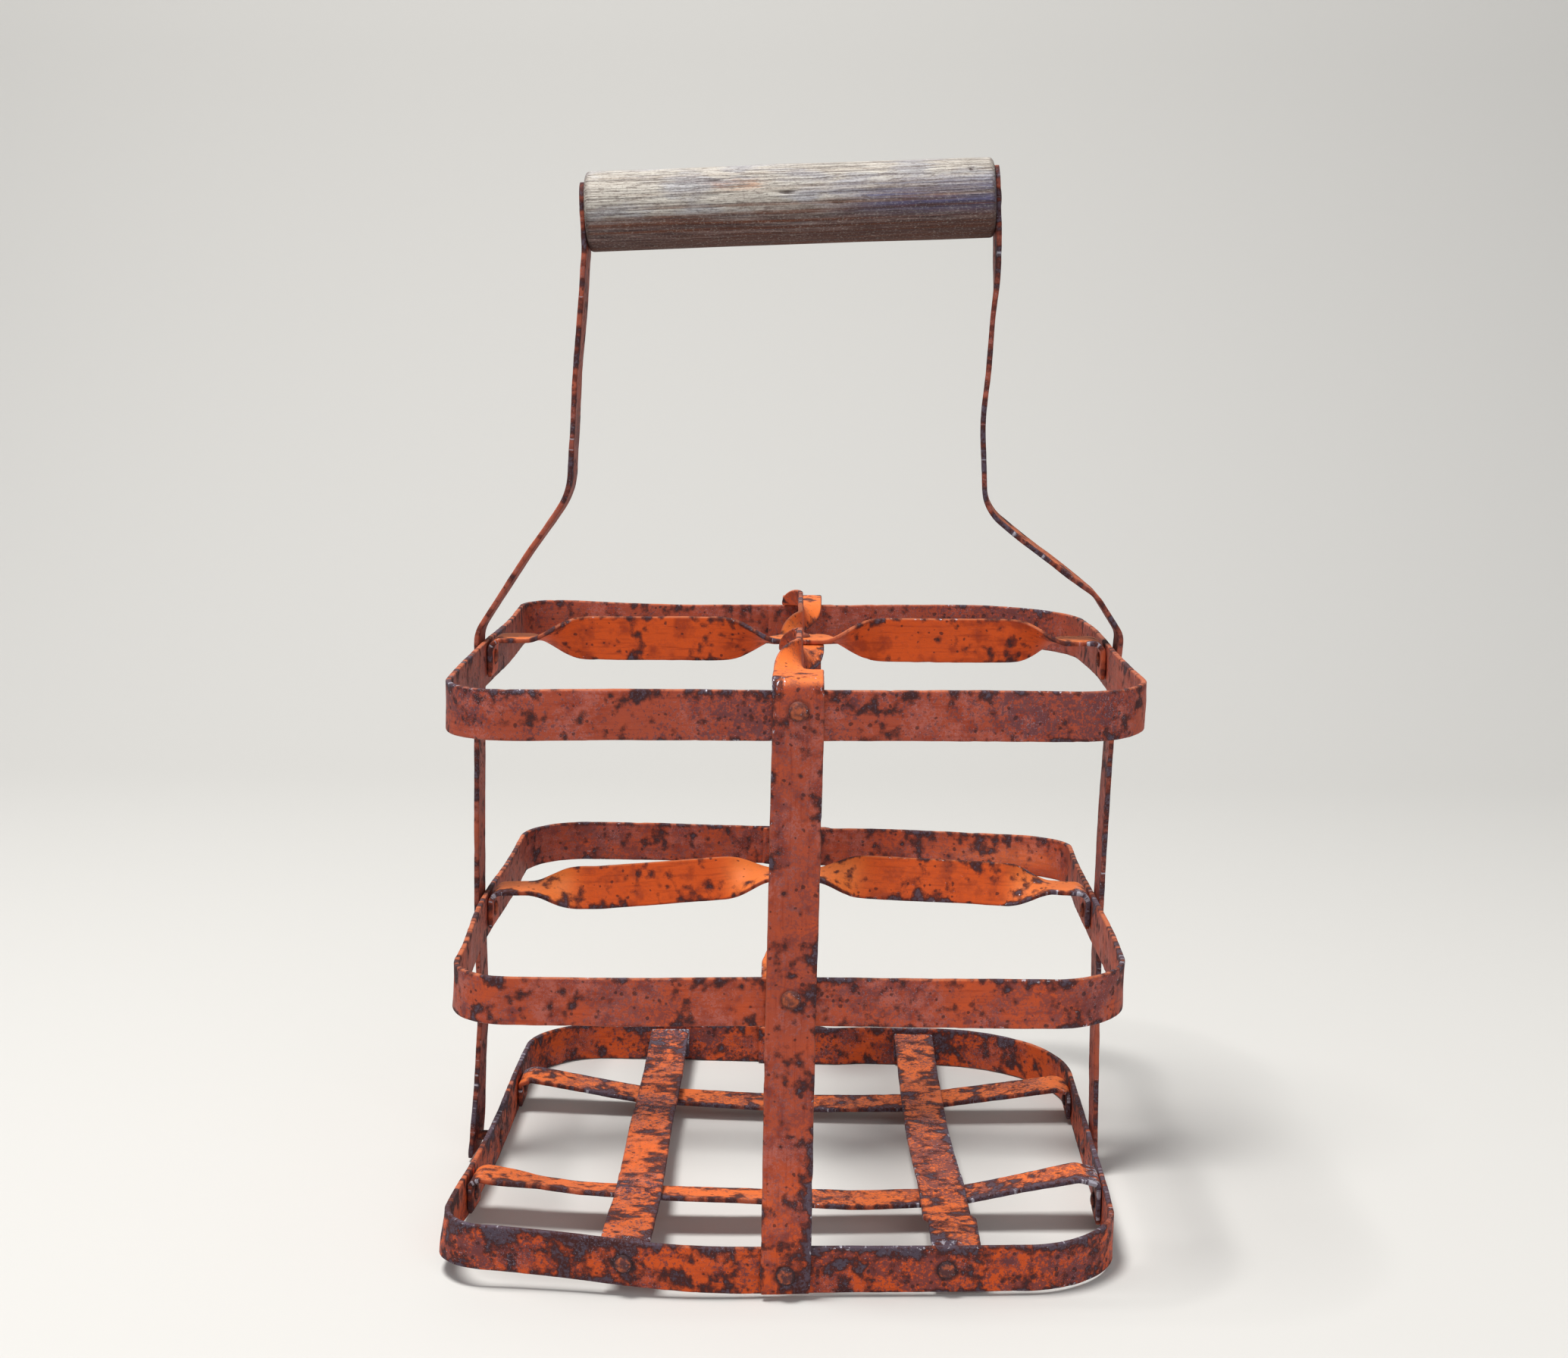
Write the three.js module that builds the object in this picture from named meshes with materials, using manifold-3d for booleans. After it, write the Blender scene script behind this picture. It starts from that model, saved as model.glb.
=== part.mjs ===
// Four-bottle carrier of riveted strap iron with a wooden grip.
// Millimetres, +Z up, +X to the right, the front faces -Y.
// The origin is on the ground under the middle of the crate.
import * as THREE from "three";
import { mergeVertices } from "three/addons/utils/BufferGeometryUtils.js";
import Module from "manifold-3d";

const wasm = await Module();
wasm.setup();

// Driving dimensions.
const STRAP_WIDTH = 13;
const STRAP_THICK = 1.5;
const FIT_GAP = 0.2; // left between pieces that touch
const HOOP_HALF = 94; // centre of the crate to the outer face of a hoop, both ways
const HOOP_CORNER = 27; // outer radius of a hoop's corners
const LAP_HALF = 12; // the lap that closes a hoop, each side of its rivet
const HOOPS = {
  top: { topZ: 165.4, rivetZ: 160.4 },
  middle: { topZ: 87, rivetZ: 81.6 },
  base: { topZ: STRAP_WIDTH, rivetZ: 5.8 },
};
const STRAP_FOOT = 0.4; // the uprights stop this far above the ground
const TAB_LENGTH = 11; // a divider's bent-down end
const SHARP_BEND = 2.4; // centre line radius of a folded end
const SLAT_OFFSET = 43.5; // middle of the crate to a base slat, under the middle of the bottles

// Heights of the straps' centre lines.
const TOP_CROSS_Z = 166.1;
const FOLD_Z = 168.3; // where the front-to-back strap folds over the top hoop
const MIDDLE_END_Z = 88.2;
const MIDDLE_CROSS_Z = 92.3;
const SLAT_END_Z = 11.6;
const SLAT_MID_Z = 10.2;
const CROSS_SLAT_MID_Z = 5.7;

// A divider stands on edge beside the bottle necks and lies flat where it crosses another.
const CROSSING_HALF = 9; // half length of the level stretch at the crossing
const FLAT_MIDDLE = 8; // the twist begins this far from the crossing
const EDGE_FROM = 27; // stands on edge between these distances from the crossing
const EDGE_TO = 62;
const FLAT_END = 80;

const GRIP_LENGTH = 119.2;
const GRIP_RADIUS = 11.5;
const GRIP_EDGE = 1.4;
const GRIP_CENTRE = new THREE.Vector3(-1.8, 0, 295);
const GRIP_TILT = THREE.MathUtils.degToRad(2.4); // right end higher
const ROD_RADIUS = 2.5;
const ROD_HEAD = { radius: 3.6, height: 1.1 };
const BORE_CLEARANCE = 0.5;

const RIVET_SHANK = 1.6;
const RIVET_HEAD = { radius: 2.3, height: 1 };
const RIVET_TAIL = { radius: 2.1, height: 0.8 };
const RIVET_SIDES = 10;
const DRILL_REACH = 14;
const BEND_STEP = THREE.MathUtils.degToRad(15);

// Layers of strap, outside to inside, each one gap and one thickness further in.
const LAYER = STRAP_THICK + FIT_GAP;
const hoopLine = HOOP_HALF - STRAP_THICK / 2;
const uprightLine = hoopLine + LAYER;
const tabLine = hoopLine - LAYER;

const X = new THREE.Vector3(1, 0, 0);
const Y = new THREE.Vector3(0, 1, 0);
const Z = new THREE.Vector3(0, 0, 1);

const crate = new THREE.Group();

function paint(color) {
  return new THREE.MeshStandardMaterial({ color, roughness: 0.62, metalness: 0.1 });
}

function addMesh(name, geometry, material) {
  const mesh = new THREE.Mesh(geometry, material);
  mesh.name = name;
  crate.add(mesh);
  return mesh;
}

function toManifold(geometry) {
  const bare = geometry.clone();
  bare.deleteAttribute("normal");
  bare.deleteAttribute("uv");
  const merged = mergeVertices(bare, 1e-4);
  return new wasm.Manifold(
    new wasm.Mesh({
      numProp: 3,
      vertProperties: merged.attributes.position.array,
      triVerts: new Uint32Array(merged.index.array),
    }),
  );
}

function toGeometry(solid) {
  const mesh = solid.getMesh();
  const geometry = new THREE.BufferGeometry();
  geometry.setAttribute("position", new THREE.BufferAttribute(mesh.vertProperties, 3));
  geometry.setIndex(new THREE.BufferAttribute(mesh.triVerts, 1));
  geometry.computeVertexNormals();
  return geometry;
}

// Stations along a centre line of straight runs joined by arcs. A corner is [u, v] with,
// after them, the bend radius and the spacing of stations on the run that leaves it.
function centreLine(corners) {
  const stations = [];
  let distance = 0;
  const put = (at, along) => {
    const last = stations.at(-1);
    if (last) distance += last.at.distanceTo(at);
    if (!last || last.at.distanceTo(at) > 1e-6) stations.push({ at, along, distance });
  };
  let runStart = new THREE.Vector2(corners[0][0], corners[0][1]);
  for (let i = 1; i < corners.length; i += 1) {
    const corner = new THREE.Vector2(corners[i][0], corners[i][1]);
    const along = corner.clone().sub(runStart).normalize();
    const radius = corners[i][2] ?? 0;
    const next = corners[i + 1];
    const leaving = next
      ? new THREE.Vector2(next[0], next[1]).sub(corner).normalize()
      : along;
    const turn = Math.atan2(along.cross(leaving), along.dot(leaving));
    const cut = radius * Math.tan(Math.abs(turn) / 2);
    const runEnd = corner.clone().addScaledVector(along, -cut);
    const spacing = corners[i - 1][3] ?? Infinity;
    const pieces = Math.max(1, Math.ceil(runStart.distanceTo(runEnd) / spacing));
    for (let k = 0; k <= pieces; k += 1) put(runStart.clone().lerp(runEnd, k / pieces), along);
    if (!next) break;
    const side = Math.sign(turn);
    const centre = runEnd.clone().add(new THREE.Vector2(-along.y, along.x).multiplyScalar(side * radius));
    const steps = Math.max(2, Math.ceil(Math.abs(turn) / BEND_STEP));
    for (let k = 1; k <= steps; k += 1) {
      const angle = (turn * k) / steps;
      put(runEnd.clone().rotateAround(centre, angle), along.clone().rotateAround(new THREE.Vector2(), angle));
    }
    runStart = corner.clone().addScaledVector(leaving, cut);
  }
  return stations;
}

// A half-round end: the last stations are moved apart along the end and narrowed.
function roundTheEnd(stations) {
  const end = stations.pop();
  const reach = STRAP_WIDTH / 2;
  const steps = 5;
  for (let k = 0; k <= steps; k += 1) {
    const angle = ((k / steps) * 85 * Math.PI) / 180;
    const back = reach * (Math.sin(angle) - 1);
    const at = end.at.clone().addScaledVector(end.along, back);
    stations.push({ at, along: end.along, distance: end.distance + back, narrow: Math.cos(angle) });
  }
}

// A strap swept along stations in the plane of the axes u and v through origin. Its width is
// square to that plane, and twist(distance, length) turns it about the centre line.
function strapGeometry(stations, { u, v, origin, twist }) {
  const length = stations.at(-1).distance;
  const across = v.clone().cross(u);
  const geometry = new THREE.BoxGeometry(1, STRAP_WIDTH, STRAP_THICK, stations.length - 1, 1, 1);
  const position = geometry.attributes.position;
  const vertex = new THREE.Vector3();
  for (let i = 0; i < position.count; i += 1) {
    vertex.fromBufferAttribute(position, i);
    const station = stations[Math.round((vertex.x + 0.5) * (stations.length - 1))];
    const along = u.clone().multiplyScalar(station.along.x).addScaledVector(v, station.along.y);
    const angle = twist ? twist(station.distance, length) : 0;
    const width = across.clone().applyAxisAngle(along, angle);
    const normal = along.clone().cross(width);
    const spot = origin
      .clone()
      .addScaledVector(u, station.at.x)
      .addScaledVector(v, station.at.y)
      .addScaledVector(width, vertex.y * (station.narrow ?? 1))
      .addScaledVector(normal, vertex.z);
    position.setXYZ(i, spot.x, spot.y, spot.z);
  }
  return geometry;
}

// Cuts round holes, each { at, axis } with an optional radius, right through a strap.
function drill(geometry, holes) {
  let solid = toManifold(geometry);
  for (const { at, axis, radius = RIVET_SHANK + FIT_GAP, sides = RIVET_SIDES } of holes) {
    const drillBit = new THREE.CylinderGeometry(radius, radius, DRILL_REACH, sides);
    drillBit.applyQuaternion(new THREE.Quaternion().setFromUnitVectors(Y, axis));
    drillBit.translate(at.x, at.y, at.z);
    solid = solid.subtract(toManifold(drillBit));
  }
  return toGeometry(solid);
}

// Turned parts: a domed head, a shank from 0 down to -grip, and a domed tail below it.
function rivetGeometry(grip, shank, head, tail, sides) {
  const dome = ({ radius, height }, z, sign) =>
    [0, 50].map((degrees) => {
      const angle = THREE.MathUtils.degToRad(degrees);
      return new THREE.Vector2(radius * Math.cos(angle), z + sign * height * Math.sin(angle));
    });
  const headFace = FIT_GAP;
  const tailFace = -grip - FIT_GAP;
  const profile = [
    new THREE.Vector2(0, tailFace - tail.height),
    ...dome(tail, tailFace, -1).reverse(),
    new THREE.Vector2(shank, tailFace),
    new THREE.Vector2(shank, headFace),
    ...dome(head, headFace, 1),
    new THREE.Vector2(0, headFace + head.height),
  ];
  return new THREE.LatheGeometry(profile, sides);
}

const ironPaint = paint(0xb4452e);
const brightPaint = paint(0xcf5a30);
const rivetPaint = paint(0x9a3f30);
const wood = new THREE.MeshStandardMaterial({ color: 0x9c8a79, roughness: 0.9, metalness: 0 });
const rodSteel = new THREE.MeshStandardMaterial({ color: 0x54474a, roughness: 0.6, metalness: 0.7 });

// Hoops: the front, side and back lines are straight, and the end laps inside the start.
function hoopStations() {
  const radius = HOOP_CORNER - STRAP_THICK / 2;
  return centreLine([
    [LAP_HALF, hoopLine],
    [-hoopLine, hoopLine, radius],
    [-hoopLine, -hoopLine, radius],
    [hoopLine, -hoopLine, radius],
    [hoopLine, hoopLine, radius],
    [LAP_HALF + 14, hoopLine, 8],
    [LAP_HALF + 3, tabLine, 8],
    [-LAP_HALF, tabLine],
  ]);
}

const SIDES = { front: -1, back: 1, left: -1, right: 1 };

function onFrontOrBack(side, x, z) {
  return { at: new THREE.Vector3(x, SIDES[side] * hoopLine, z), axis: Y };
}

function onLeftOrRight(side, y, z) {
  return { at: new THREE.Vector3(SIDES[side] * hoopLine, y, z), axis: X };
}

function addHoop(name, { topZ, rivetZ }, slatRivetZ) {
  const middle = new THREE.Vector3(0, 0, topZ - STRAP_WIDTH / 2);
  const strap = strapGeometry(hoopStations(), { u: X, v: Y, origin: middle });
  const holes = [
    onFrontOrBack("front", 0, rivetZ),
    onFrontOrBack("back", 0, rivetZ),
    onLeftOrRight("left", 0, rivetZ),
    onLeftOrRight("right", 0, rivetZ),
  ];
  if (slatRivetZ) {
    for (const offset of [-SLAT_OFFSET, SLAT_OFFSET]) {
      holes.push(onFrontOrBack("front", offset, slatRivetZ), onFrontOrBack("back", offset, slatRivetZ));
      holes.push(onLeftOrRight("left", offset, slatRivetZ), onLeftOrRight("right", offset, slatRivetZ));
    }
  }
  addMesh(name, drill(strap, holes), ironPaint);
}

const SLAT_RIVET_Z = STRAP_WIDTH / 2;
addHoop("top_hoop", HOOPS.top);
addHoop("middle_hoop", HOOPS.middle);
addHoop("base_hoop", HOOPS.base, SLAT_RIVET_Z);

// Turns a divider on edge between EDGE_FROM and EDGE_TO; side is 1 or -1 for the edge that rises.
function edgeTwist(side) {
  return (distance, length) => {
    const out = Math.abs(distance - length / 2);
    const rise = THREE.MathUtils.smoothstep(out, FLAT_MIDDLE, EDGE_FROM);
    const fall = THREE.MathUtils.smoothstep(out, EDGE_TO, FLAT_END);
    return (side * (rise - fall) * Math.PI) / 2;
  };
}

const origin = new THREE.Vector3();
const TWIST_STEP = 4.2;
const frontToBack = { u: Y, v: Z, origin };
const leftToRight = { u: X, v: Z, origin };

// One strap makes the front upright, the top front-to-back divider and the back upright.
function addFrontBackStrap() {
  const dipFrom = 44;
  const dipZ = TOP_CROSS_Z - LAYER;
  const line = centreLine([
    [-uprightLine, STRAP_FOOT],
    [-uprightLine, FOLD_Z, SHARP_BEND, TWIST_STEP],
    [-dipFrom, FOLD_Z, 40, TWIST_STEP],
    [-CROSSING_HALF, dipZ, 20, TWIST_STEP],
    [CROSSING_HALF, dipZ, 20, TWIST_STEP],
    [dipFrom, FOLD_Z, 40, TWIST_STEP],
    [uprightLine, FOLD_Z, SHARP_BEND],
    [uprightLine, STRAP_FOOT],
  ]);
  const strap = strapGeometry(line, { ...frontToBack, twist: edgeTwist(1) });
  const holes = [{ at: new THREE.Vector3(0, 0, dipZ), axis: Z }];
  for (const { rivetZ } of Object.values(HOOPS)) {
    holes.push(onFrontOrBack("front", 0, rivetZ), onFrontOrBack("back", 0, rivetZ));
  }
  addMesh("front_back_strap", drill(strap, holes), ironPaint);
}
addFrontBackStrap();

// A divider with both ends bent down as tabs; far is where its back or right tab stands.
function addDivider(name, plane, { endZ, crossZ, far = tabLine, side, tabs }) {
  const tabZ = endZ - TAB_LENGTH;
  const line = centreLine([
    [-tabLine, tabZ],
    [-tabLine, endZ, SHARP_BEND, TWIST_STEP],
    [-CROSSING_HALF, crossZ, 60, TWIST_STEP],
    [CROSSING_HALF, crossZ, 60, TWIST_STEP],
    [far, endZ, SHARP_BEND],
    [far, tabZ],
  ]);
  const strap = strapGeometry(line, { ...plane, twist: edgeTwist(side) });
  const crossing = { at: new THREE.Vector3(0, 0, crossZ), axis: Z };
  addMesh(name, drill(strap, [crossing, ...tabs]), brightPaint);
}

addDivider("top_cross_divider", leftToRight, {
  endZ: TOP_CROSS_Z,
  crossZ: TOP_CROSS_Z,
  side: -1,
  tabs: [onLeftOrRight("left", 0, HOOPS.top.rivetZ), onLeftOrRight("right", 0, HOOPS.top.rivetZ)],
});
addDivider("middle_cross_divider", leftToRight, {
  endZ: MIDDLE_END_Z,
  crossZ: MIDDLE_CROSS_Z,
  side: 1,
  tabs: [onLeftOrRight("left", 0, HOOPS.middle.rivetZ), onLeftOrRight("right", 0, HOOPS.middle.rivetZ)],
});
addDivider("middle_long_divider", frontToBack, {
  endZ: MIDDLE_END_Z,
  crossZ: MIDDLE_CROSS_Z - LAYER,
  far: tabLine - LAYER,
  side: 1,
  tabs: [onFrontOrBack("front", 0, HOOPS.middle.rivetZ), onFrontOrBack("back", 0, HOOPS.middle.rivetZ)],
});

// Base slats: flat straps whose bent-down ends are riveted inside the base hoop.
function addSlat(name, plane, shift, midZ, holes) {
  const line = centreLine([
    [-tabLine, 1.5],
    [-tabLine, SLAT_END_Z, SHARP_BEND],
    [0, midZ, 200],
    [tabLine, SLAT_END_Z, SHARP_BEND],
    [tabLine, 1.5],
  ]);
  const strap = strapGeometry(line, { ...plane, origin: shift });
  addMesh(name, drill(strap, holes), brightPaint);
}

for (const side of ["left", "right"]) {
  const x = SIDES[side] * SLAT_OFFSET;
  const holes = [onFrontOrBack("front", x, SLAT_RIVET_Z), onFrontOrBack("back", x, SLAT_RIVET_Z)];
  addSlat(`base_long_slat_${side}`, frontToBack, new THREE.Vector3(x, 0, 0), SLAT_MID_Z, holes);
}
for (const side of ["front", "back"]) {
  const y = SIDES[side] * SLAT_OFFSET;
  const holes = [onLeftOrRight("left", y, SLAT_RIVET_Z), onLeftOrRight("right", y, SLAT_RIVET_Z)];
  addSlat(`base_cross_slat_${side}`, leftToRight, new THREE.Vector3(0, y, 0), CROSS_SLAT_MID_Z, holes);
}

// The grip turns on a rod held in the ends of the two side straps.
const gripAxis = new THREE.Vector3(Math.cos(GRIP_TILT), 0, Math.sin(GRIP_TILT));
const gripUp = new THREE.Vector3(-Math.sin(GRIP_TILT), 0, Math.cos(GRIP_TILT));
const armFromCentre = GRIP_LENGTH / 2 + FIT_GAP + STRAP_THICK / 2;

// A point on a side strap's centre line, a height above the rod in the grip's own frame.
function armPoint(side, height) {
  return GRIP_CENTRE.clone()
    .addScaledVector(gripAxis, SIDES[side] * armFromCentre)
    .addScaledVector(gripUp, height);
}

// A side strap rises outside the hoops, leans in over the crate and ends flat on the grip.
function addSideStrap(side, bends, tip) {
  const x = SIDES[side] * uprightLine;
  const flatFoot = armPoint(side, -GRIP_RADIUS);
  const flatTip = armPoint(side, tip);
  const line = centreLine([
    [x, STRAP_FOOT],
    ...bends,
    [flatFoot.x, flatFoot.z, 30],
    [flatTip.x, flatTip.z],
  ]);
  roundTheEnd(line);
  const rodHole = { at: armPoint(side, 0), axis: gripAxis, radius: ROD_RADIUS + FIT_GAP, sides: 24 };
  const rivetHoles = Object.values(HOOPS).map(({ rivetZ }) => onLeftOrRight(side, 0, rivetZ));
  const strap = strapGeometry(line, leftToRight);
  addMesh(`${side}_side_strap`, drill(strap, [rodHole, ...rivetHoles]), ironPaint);
}

addSideStrap(
  "left",
  [
    [-uprightLine, 168.4, 10],
    [-66, 211.8, 40],
  ],
  8.6,
);
addSideStrap(
  "right",
  [
    [uprightLine, 171.5, 10],
    [90.6, 182, 14],
    [57, 207.4, 12],
    [56, 229, 90],
  ],
  9.2,
);

function addGrip() {
  const bore = ROD_RADIUS + BORE_CLEARANCE;
  const half = GRIP_LENGTH / 2;
  const quarter = [0, 30, 60, 90].map((degrees) => THREE.MathUtils.degToRad(degrees));
  const edge = quarter.map(
    (angle) =>
      new THREE.Vector2(
        GRIP_RADIUS - GRIP_EDGE * (1 - Math.cos(angle)),
        half - GRIP_EDGE * (1 - Math.sin(angle)),
      ),
  );
  const otherEdge = edge.map((point) => new THREE.Vector2(point.x, -point.y)).reverse();
  const start = new THREE.Vector2(bore, -half);
  const profile = [start, ...otherEdge, ...edge, new THREE.Vector2(bore, half), start.clone()];
  const turn = new THREE.Quaternion().setFromUnitVectors(Y, gripAxis);
  const grip = addMesh("wooden_grip", new THREE.LatheGeometry(profile, 32), wood);
  grip.position.copy(GRIP_CENTRE);
  grip.quaternion.copy(turn);

  const outerFace = armFromCentre + STRAP_THICK / 2;
  const rodShape = rivetGeometry(2 * outerFace, ROD_RADIUS, ROD_HEAD, ROD_HEAD, 24);
  const rod = addMesh("grip_rod", rodShape, rodSteel);
  rod.position.copy(GRIP_CENTRE).addScaledVector(gripAxis, outerFace);
  rod.quaternion.copy(turn);
}
addGrip();

// A rivet whose head sits on the outermost of its layers; head is the middle of that face.
function addRivet(name, head, outward, layers) {
  const grip = layers * LAYER - FIT_GAP;
  const shape = rivetGeometry(grip, RIVET_SHANK, RIVET_HEAD, RIVET_TAIL, RIVET_SIDES);
  const rivet = addMesh(name, shape, rivetPaint);
  rivet.position.copy(head);
  rivet.quaternion.setFromUnitVectors(Y, outward);
}

const uprightFace = uprightLine + STRAP_THICK / 2;
const UPRIGHT_LAYERS = {
  top: { front: 2, back: 3, left: 3, right: 3 },
  middle: { front: 3, back: 4, left: 3, right: 3 },
  base: { front: 2, back: 3, left: 2, right: 2 },
};
const OUTWARD = {
  front: Y.clone().negate(),
  back: Y,
  left: X.clone().negate(),
  right: X,
};

for (const [level, layersBySide] of Object.entries(UPRIGHT_LAYERS)) {
  for (const [side, layers] of Object.entries(layersBySide)) {
    const head = OUTWARD[side].clone().multiplyScalar(uprightFace);
    head.z = HOOPS[level].rivetZ;
    addRivet(`rivet_${level}_${side}`, head, OUTWARD[side], layers);
  }
}

for (const [side, outward] of Object.entries(OUTWARD)) {
  const sideways = outward.x ? Y : X;
  const names = outward.x ? { front: -1, back: 1 } : { left: -1, right: 1 };
  for (const [end, sign] of Object.entries(names)) {
    const head = outward
      .clone()
      .multiplyScalar(HOOP_HALF)
      .addScaledVector(sideways, sign * SLAT_OFFSET)
      .addScaledVector(Z, SLAT_RIVET_Z);
    addRivet(`rivet_slat_${side}_${end}`, head, outward, 2);
  }
}

for (const [level, z] of [["top", TOP_CROSS_Z], ["middle", MIDDLE_CROSS_Z]]) {
  addRivet(`rivet_${level}_crossing`, new THREE.Vector3(0, 0, z + STRAP_THICK / 2), Z, 2);
}

export default crate;
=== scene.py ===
"""Four-bottle carrier of riveted strap iron: chipped paint, rust, and a weathered wooden grip."""
import math
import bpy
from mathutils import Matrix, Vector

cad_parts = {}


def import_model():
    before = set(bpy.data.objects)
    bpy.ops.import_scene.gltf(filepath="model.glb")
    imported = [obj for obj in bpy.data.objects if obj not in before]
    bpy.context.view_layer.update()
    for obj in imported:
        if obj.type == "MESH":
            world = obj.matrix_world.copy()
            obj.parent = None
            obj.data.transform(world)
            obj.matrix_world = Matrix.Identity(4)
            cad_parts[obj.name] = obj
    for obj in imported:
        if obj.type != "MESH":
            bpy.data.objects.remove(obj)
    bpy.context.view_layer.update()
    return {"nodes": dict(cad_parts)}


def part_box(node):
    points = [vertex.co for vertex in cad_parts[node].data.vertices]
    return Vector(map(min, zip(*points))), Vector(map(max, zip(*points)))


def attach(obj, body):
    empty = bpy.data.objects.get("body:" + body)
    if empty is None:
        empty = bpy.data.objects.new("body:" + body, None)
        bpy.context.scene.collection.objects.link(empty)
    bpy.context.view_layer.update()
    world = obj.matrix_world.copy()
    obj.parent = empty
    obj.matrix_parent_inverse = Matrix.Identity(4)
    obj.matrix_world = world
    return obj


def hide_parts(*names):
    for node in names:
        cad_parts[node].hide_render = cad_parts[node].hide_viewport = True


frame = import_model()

from types import SimpleNamespace

import bpy
import numpy as np
from mathutils import Matrix, Vector

# Lengths in the mesh code are millimetres; the meshes are made in metres.
MM = 0.001
STRAP_WIDTH = 13.0
STRAP_THICK = 1.5
HALF_WIDTH = STRAP_WIDTH / 2
HALF_THICK = STRAP_THICK / 2
EDGE_ROUND = 0.42
# Between the centre lines of two straps that are riveted together.
LAYER = 1.7
# From the crate's middle to the centre lines of hoops, of uprights outside and tabs inside them.
HOOP_LINE = 93.25
UPRIGHT_LINE = HOOP_LINE + LAYER
TAB_LINE = HOOP_LINE - LAYER
LAP_HALF = 12.0
HOOP_TOPS = {"top": 165.4, "middle": 87.0, "base": 13.0}
STRAP_FOOT = 0.4
SHARP_BEND = 2.4
TAB_LENGTH = 11.0
TAB_BEND = 3.4
SLAT_OFFSET = 43.5
CROSSING_HALF = 9.0
GRIP_LENGTH = 119.2
GRIP_RADIUS = 11.5
GRIP_EDGE = 1.4
GRIP_CENTRE = np.array([-1.8, 0.0, 295.0])
GRIP_TILT = math.radians(2.4)
ROD_RADIUS = 2.5
BORE_RADIUS = 3.0


# Numbers -----

NOISE_CELLS = 32


def smoothstep(value, low, high):
    part = np.clip((value - low) / (high - low), 0, 1)
    return part * part * (3 - 2 * part)


def noise(points, size, seed):
    """Smooth noise from -1 to 1 at rows of points, with features about size across."""
    table = np.random.default_rng(seed).uniform(-1, 1, (NOISE_CELLS,) * 3)
    cell = np.asarray(points, float) / size
    base = np.floor(cell).astype(int)
    part = cell - base
    part = part * part * (3 - 2 * part)
    value = np.zeros(len(cell))
    for corner in np.ndindex(2, 2, 2):
        index = (base + corner) % NOISE_CELLS
        weight = np.prod(np.where(corner, part, 1 - part), axis=1)
        value += weight * table[index[:, 0], index[:, 1], index[:, 2]]
    return value


def noise_along(distance, size, seed):
    """The same noise along the line where the other two places are 3.7 and 8.1."""
    return noise([(place, 3.7, 8.1) for place in distance], size, seed)


def unit(rows):
    return rows / np.linalg.norm(rows, axis=-1, keepdims=True)


def name_seed(node, first):
    """A seed for a piece's noise from its name; first keeps kinds of pieces apart."""
    return sum(ord(letter) * (i + first) for i, letter in enumerate(node))


# The old crate is a little bent -----

# Height; the hoops' shift in x and y, turn about z, lift, and slope of the lift in x and y;
# and the shift in x of what lies between the corners, at the front and at the back.
BENDS = np.array([
    [6.0, -0.2, 0.4, -0.024, 0.9, 0.000, -0.006, 0.5, 0.0],
    [80.0, -0.7, 1.0, -0.004, 0.3, 0.008, -0.009, 1.0, 1.0],
    [160.0, 0.9, -0.9, 0.01, 0.3, 0.004, 0.003, 2.8, 2.6],
    [250.0, 0, 0, 0, 0, 0, 0, 0, 0],
])

# Knocks the crate has taken: middle, reach and push, each in x, y and z.
KNOCKS = [
    ((-30, -94, 6), (34, 30, 24), (0, -4.4, 0)),
    ((82, -94, 6), (34, 36, 24), (0, 3.8, 0)),
    ((-95, -88, 13), (16, 26, 8), (1.8, 0, 0)),
    ((-40, -43.5, 8), (75, 24, 14), (0, -8.0, 0)),
    ((10, 43.5, 8), (75, 24, 14), (0, -4.5, 0)),
    ((-93, -20, 8), (20, 60, 24), (1.6, 0, 0)),
    ((95, 30, 160), (25, 36, 30), (1.8, 0, 0)),
    ((-93, 93, 160), (30, 36, 30), (0, 0, 1.6)),
    ((-93, -93, 160), (34, 40, 30), (0.6, 0, -0.5)),
    ((-93, -75, 82), (30, 40, 24), (3.8, 0, 0)),
    ((93, -93, 82), (30, 40, 24), (-1.4, 0, 0)),
    ((88, 93, 82), (48, 40, 24), (3.4, 0, -3.0)),
    ((84, 93, 75), (46, 36, 8), (0, -4.0, 0)),
    ((-85, 93, 82), (50, 40, 24), (0, 0, 1.6)),
]
# The front of the base hoop leans out, more so towards its top.
BASE_LEAN = 0.08
LEAN_FROM = 3.0
# The base's front left corner is lifted off the ground.
CORNER_LIFT = 4.4
# Everything below the handle wobbles by up to this, over this distance, and up and down by no
# more than this part of a point's height.
WOBBLE = 0.3
WOBBLE_SIZE = 45
WOBBLE_SLOPE = 0.05


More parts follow.
